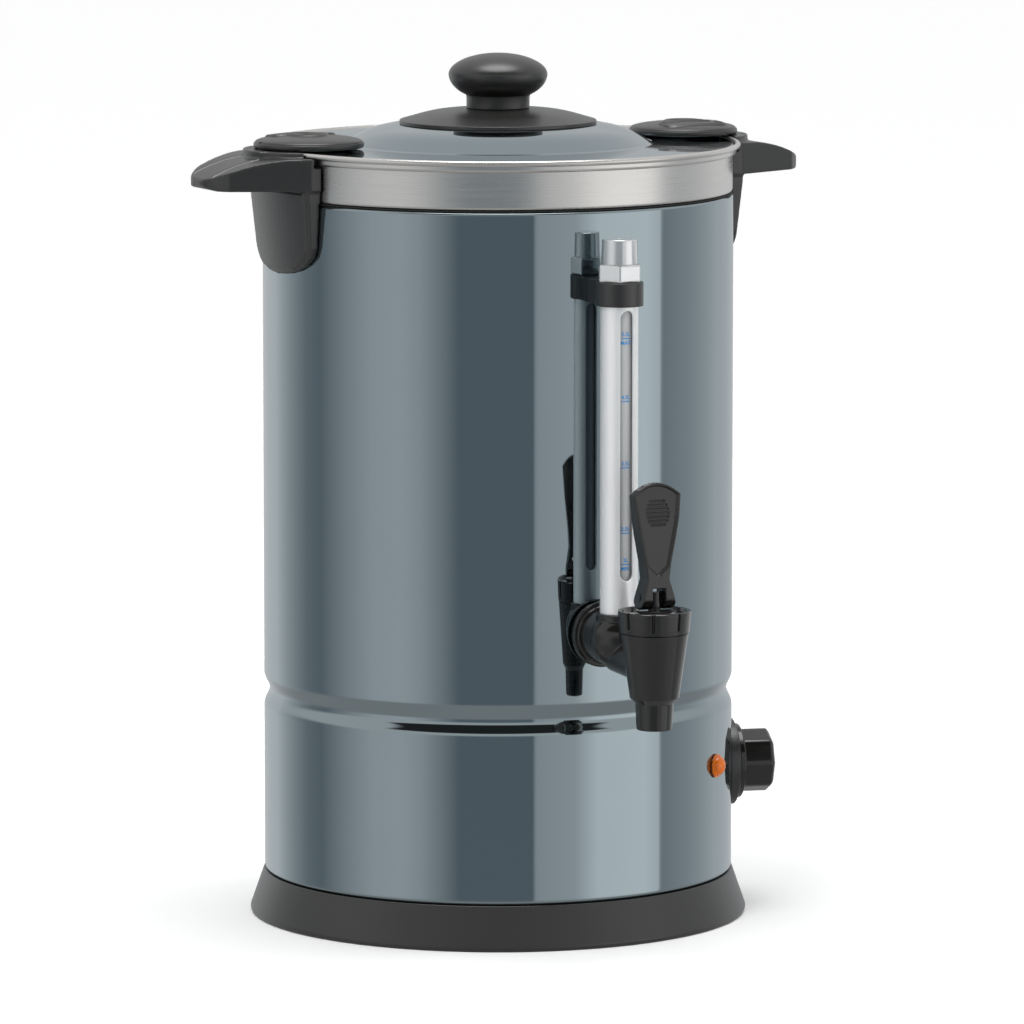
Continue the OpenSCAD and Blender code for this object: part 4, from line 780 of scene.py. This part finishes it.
# The escutcheon's outline is (radius, share of the way from the jacket to the flat front).
escutcheon = np.array([(7.5, 0), (20.6, 0), (21, 0.12), (21, 0.7), (20.9, 0.92), (20.3, 1), (12, 1),
                       (8, 1), (7.5, 0.9)])
jacket_play, escutcheon_front = 0.1, 115.5
angle = turn_angles(160, len(escutcheon))
across, upward = escutcheon[:, 0] * np.cos(angle), escutcheon[:, 0] * np.sin(angle)
back = np.sqrt((jacket_r + jacket_play) ** 2 - across ** 2)
plate = np.stack([across, upward, back + (escutcheon_front - back) * escutcheon[:, 1]], -1)
build("dial_escutcheon", [(facing_out(plate, dial_turn, dial_z), True, True)],
      black_phenolic, "urn", ["control_bezel"])

# ---------------------------------------------------------------- heating lamp
# Amber polycarbonate dome snapped into the jacket beside the knob, with a neon lamp behind it.
# Clear polycarbonate is glossy and lets some light through, which makes the amber look deep.
amber_lens = surface("clear_amber_polycarbonate", ("#E8730C", "#F08016"), (0.08, 0.12), 2.0, 0.002,
                     sockets={"Transmission Weight": 0.35, "IOR": 1.58})
dome = np.radians(np.linspace(0, 90, 12))
lens_r = np.concatenate([[0, 3, 3, 4, 4, 5.4, 5.6, 5.6, 5.4, 4.8], 4.7 * np.cos(dome)])
lens_h = np.concatenate([[1.9, 1.9, -4, -4, 0.3, 0.3, 0.5, 1.2, 1.4, 1.4], 1.4 + 3.4 * np.sin(dome)])
lamp = around_axis(turn_angles(96, len(lens_r)), lens_r, lens_h + jacket_r)
build("lamp_dome", [(facing_out(lamp, lamp_turn, lamp_z), True, False)],
      amber_lens, "urn", ["lamp_lens"])

# ---------------------------------------------------------------- cord grommet
# Rubber grommet pressed into the back of the jacket; the mains lead passes through its bore.
grommet = turned([(4, 107.6, 0.4), (8.4, 107.6, 0.6), (8.4, 110.6, 0.4), (6.4, 110.6, 0.1), (6.4, 112.1, 0.1),
                  (9, 112.1, 0.2), (9, 114.0, 1.2), (7.2, 115.0, 0.8), (4, 115.0, 0.6)], 96)
build("cord_grommet", [(facing_out(grommet, cord_turn, cord_z), True, True)],
      black_rubber, "urn", ["cord_inlet"])

# ---------------------------------------------------------------- inner works and fixings
# Heater, thermostat, wiring, tap internals and fixings. They are turned, pressed or bought in, keep
# the shape they have, and get their real finish.
# Zinc plate is bright with a trace of yellow, turned steel has fine lines along it, cast aluminium is
# dull, and the element's sheath is dark from heat. The plastics and rubbers are smooth and even.
zinc_plate = surface("bright_zinc_plated_steel", ("#B9BBB8", "#C6C6BE"), (0.25, 0.38), 0.7, 0.004,
                     sockets={"Metallic": 1.0})
turned_steel = surface("turned_stainless_steel", ("#C4C3C0", "#CBCAC7"), (0.2, 0.3), 0.5, 0.003,
                       stretch=(1, 1, 0.2), sockets={"Metallic": 1.0})
cast_aluminium = surface("cast_aluminium_plate", ("#B4B6B8", "#BFC1C2"), (0.4, 0.55), 1.2, 0.03,
                         sockets={"Metallic": 1.0})
element_sheath = surface("heat_darkened_sheath", ("#4A443E", "#5A4E44"), (0.4, 0.55), 1.0, 0.02,
                         sockets={"Metallic": 0.9})
white_silicone = surface("translucent_silicone_rubber", ("#CFCAC0", "#D6D1C8"), (0.5, 0.6), 1.0, 0.01)
ivory_urea = surface("moulded_ivory_urea_plastic", ("#E3DDC9", "#E8E2D0"), (0.3, 0.4), 1.0, 0.006)
bare_copper = surface("drawn_bare_copper", ("#B8734A", "#C27E54"), (0.25, 0.35), 0.6, 0.004,
                      sockets={"Metallic": 1.0})
silicone_lead = surface("smooth_red_silicone_lead", ("#8E2A22", "#97322A"), (0.35, 0.45), 1.0, 0.004)
kept_nodes = {
    zinc_plate: ["bottom_cover", "cover_screws", "tie_rod", "tie_nut", "thermostat_screws",
                 "thermostat_shaft", "bracket_screw", "lid_screw", "handle_screws", "left_lock_screw",
                 "right_lock_screw"],
    turned_steel: ["tap_shank", "tank_nut", "shank_spacer", "tap_spring"],
    gloss_black: ["tap_stem", "lever_pin"],
    cast_aluminium: ["heater_plate"],
    element_sheath: ["heating_element"],
    white_silicone: ["seat_cup"],
    black_rubber: ["gauge_seals", "shank_gaskets"],
    ivory_urea: ["thermal_cutout", "thermostat_body", "lamp_holder", "terminal_block"],
    bare_copper: ["sensor_capillary"],
    silicone_lead: ["wiring"],
}
for finish, names in kept_nodes.items():
    for name in names:
        mesh = nodes[name].data
        mesh.materials.clear()
        mesh.materials.append(finish)

bpy.context.view_layer.update()
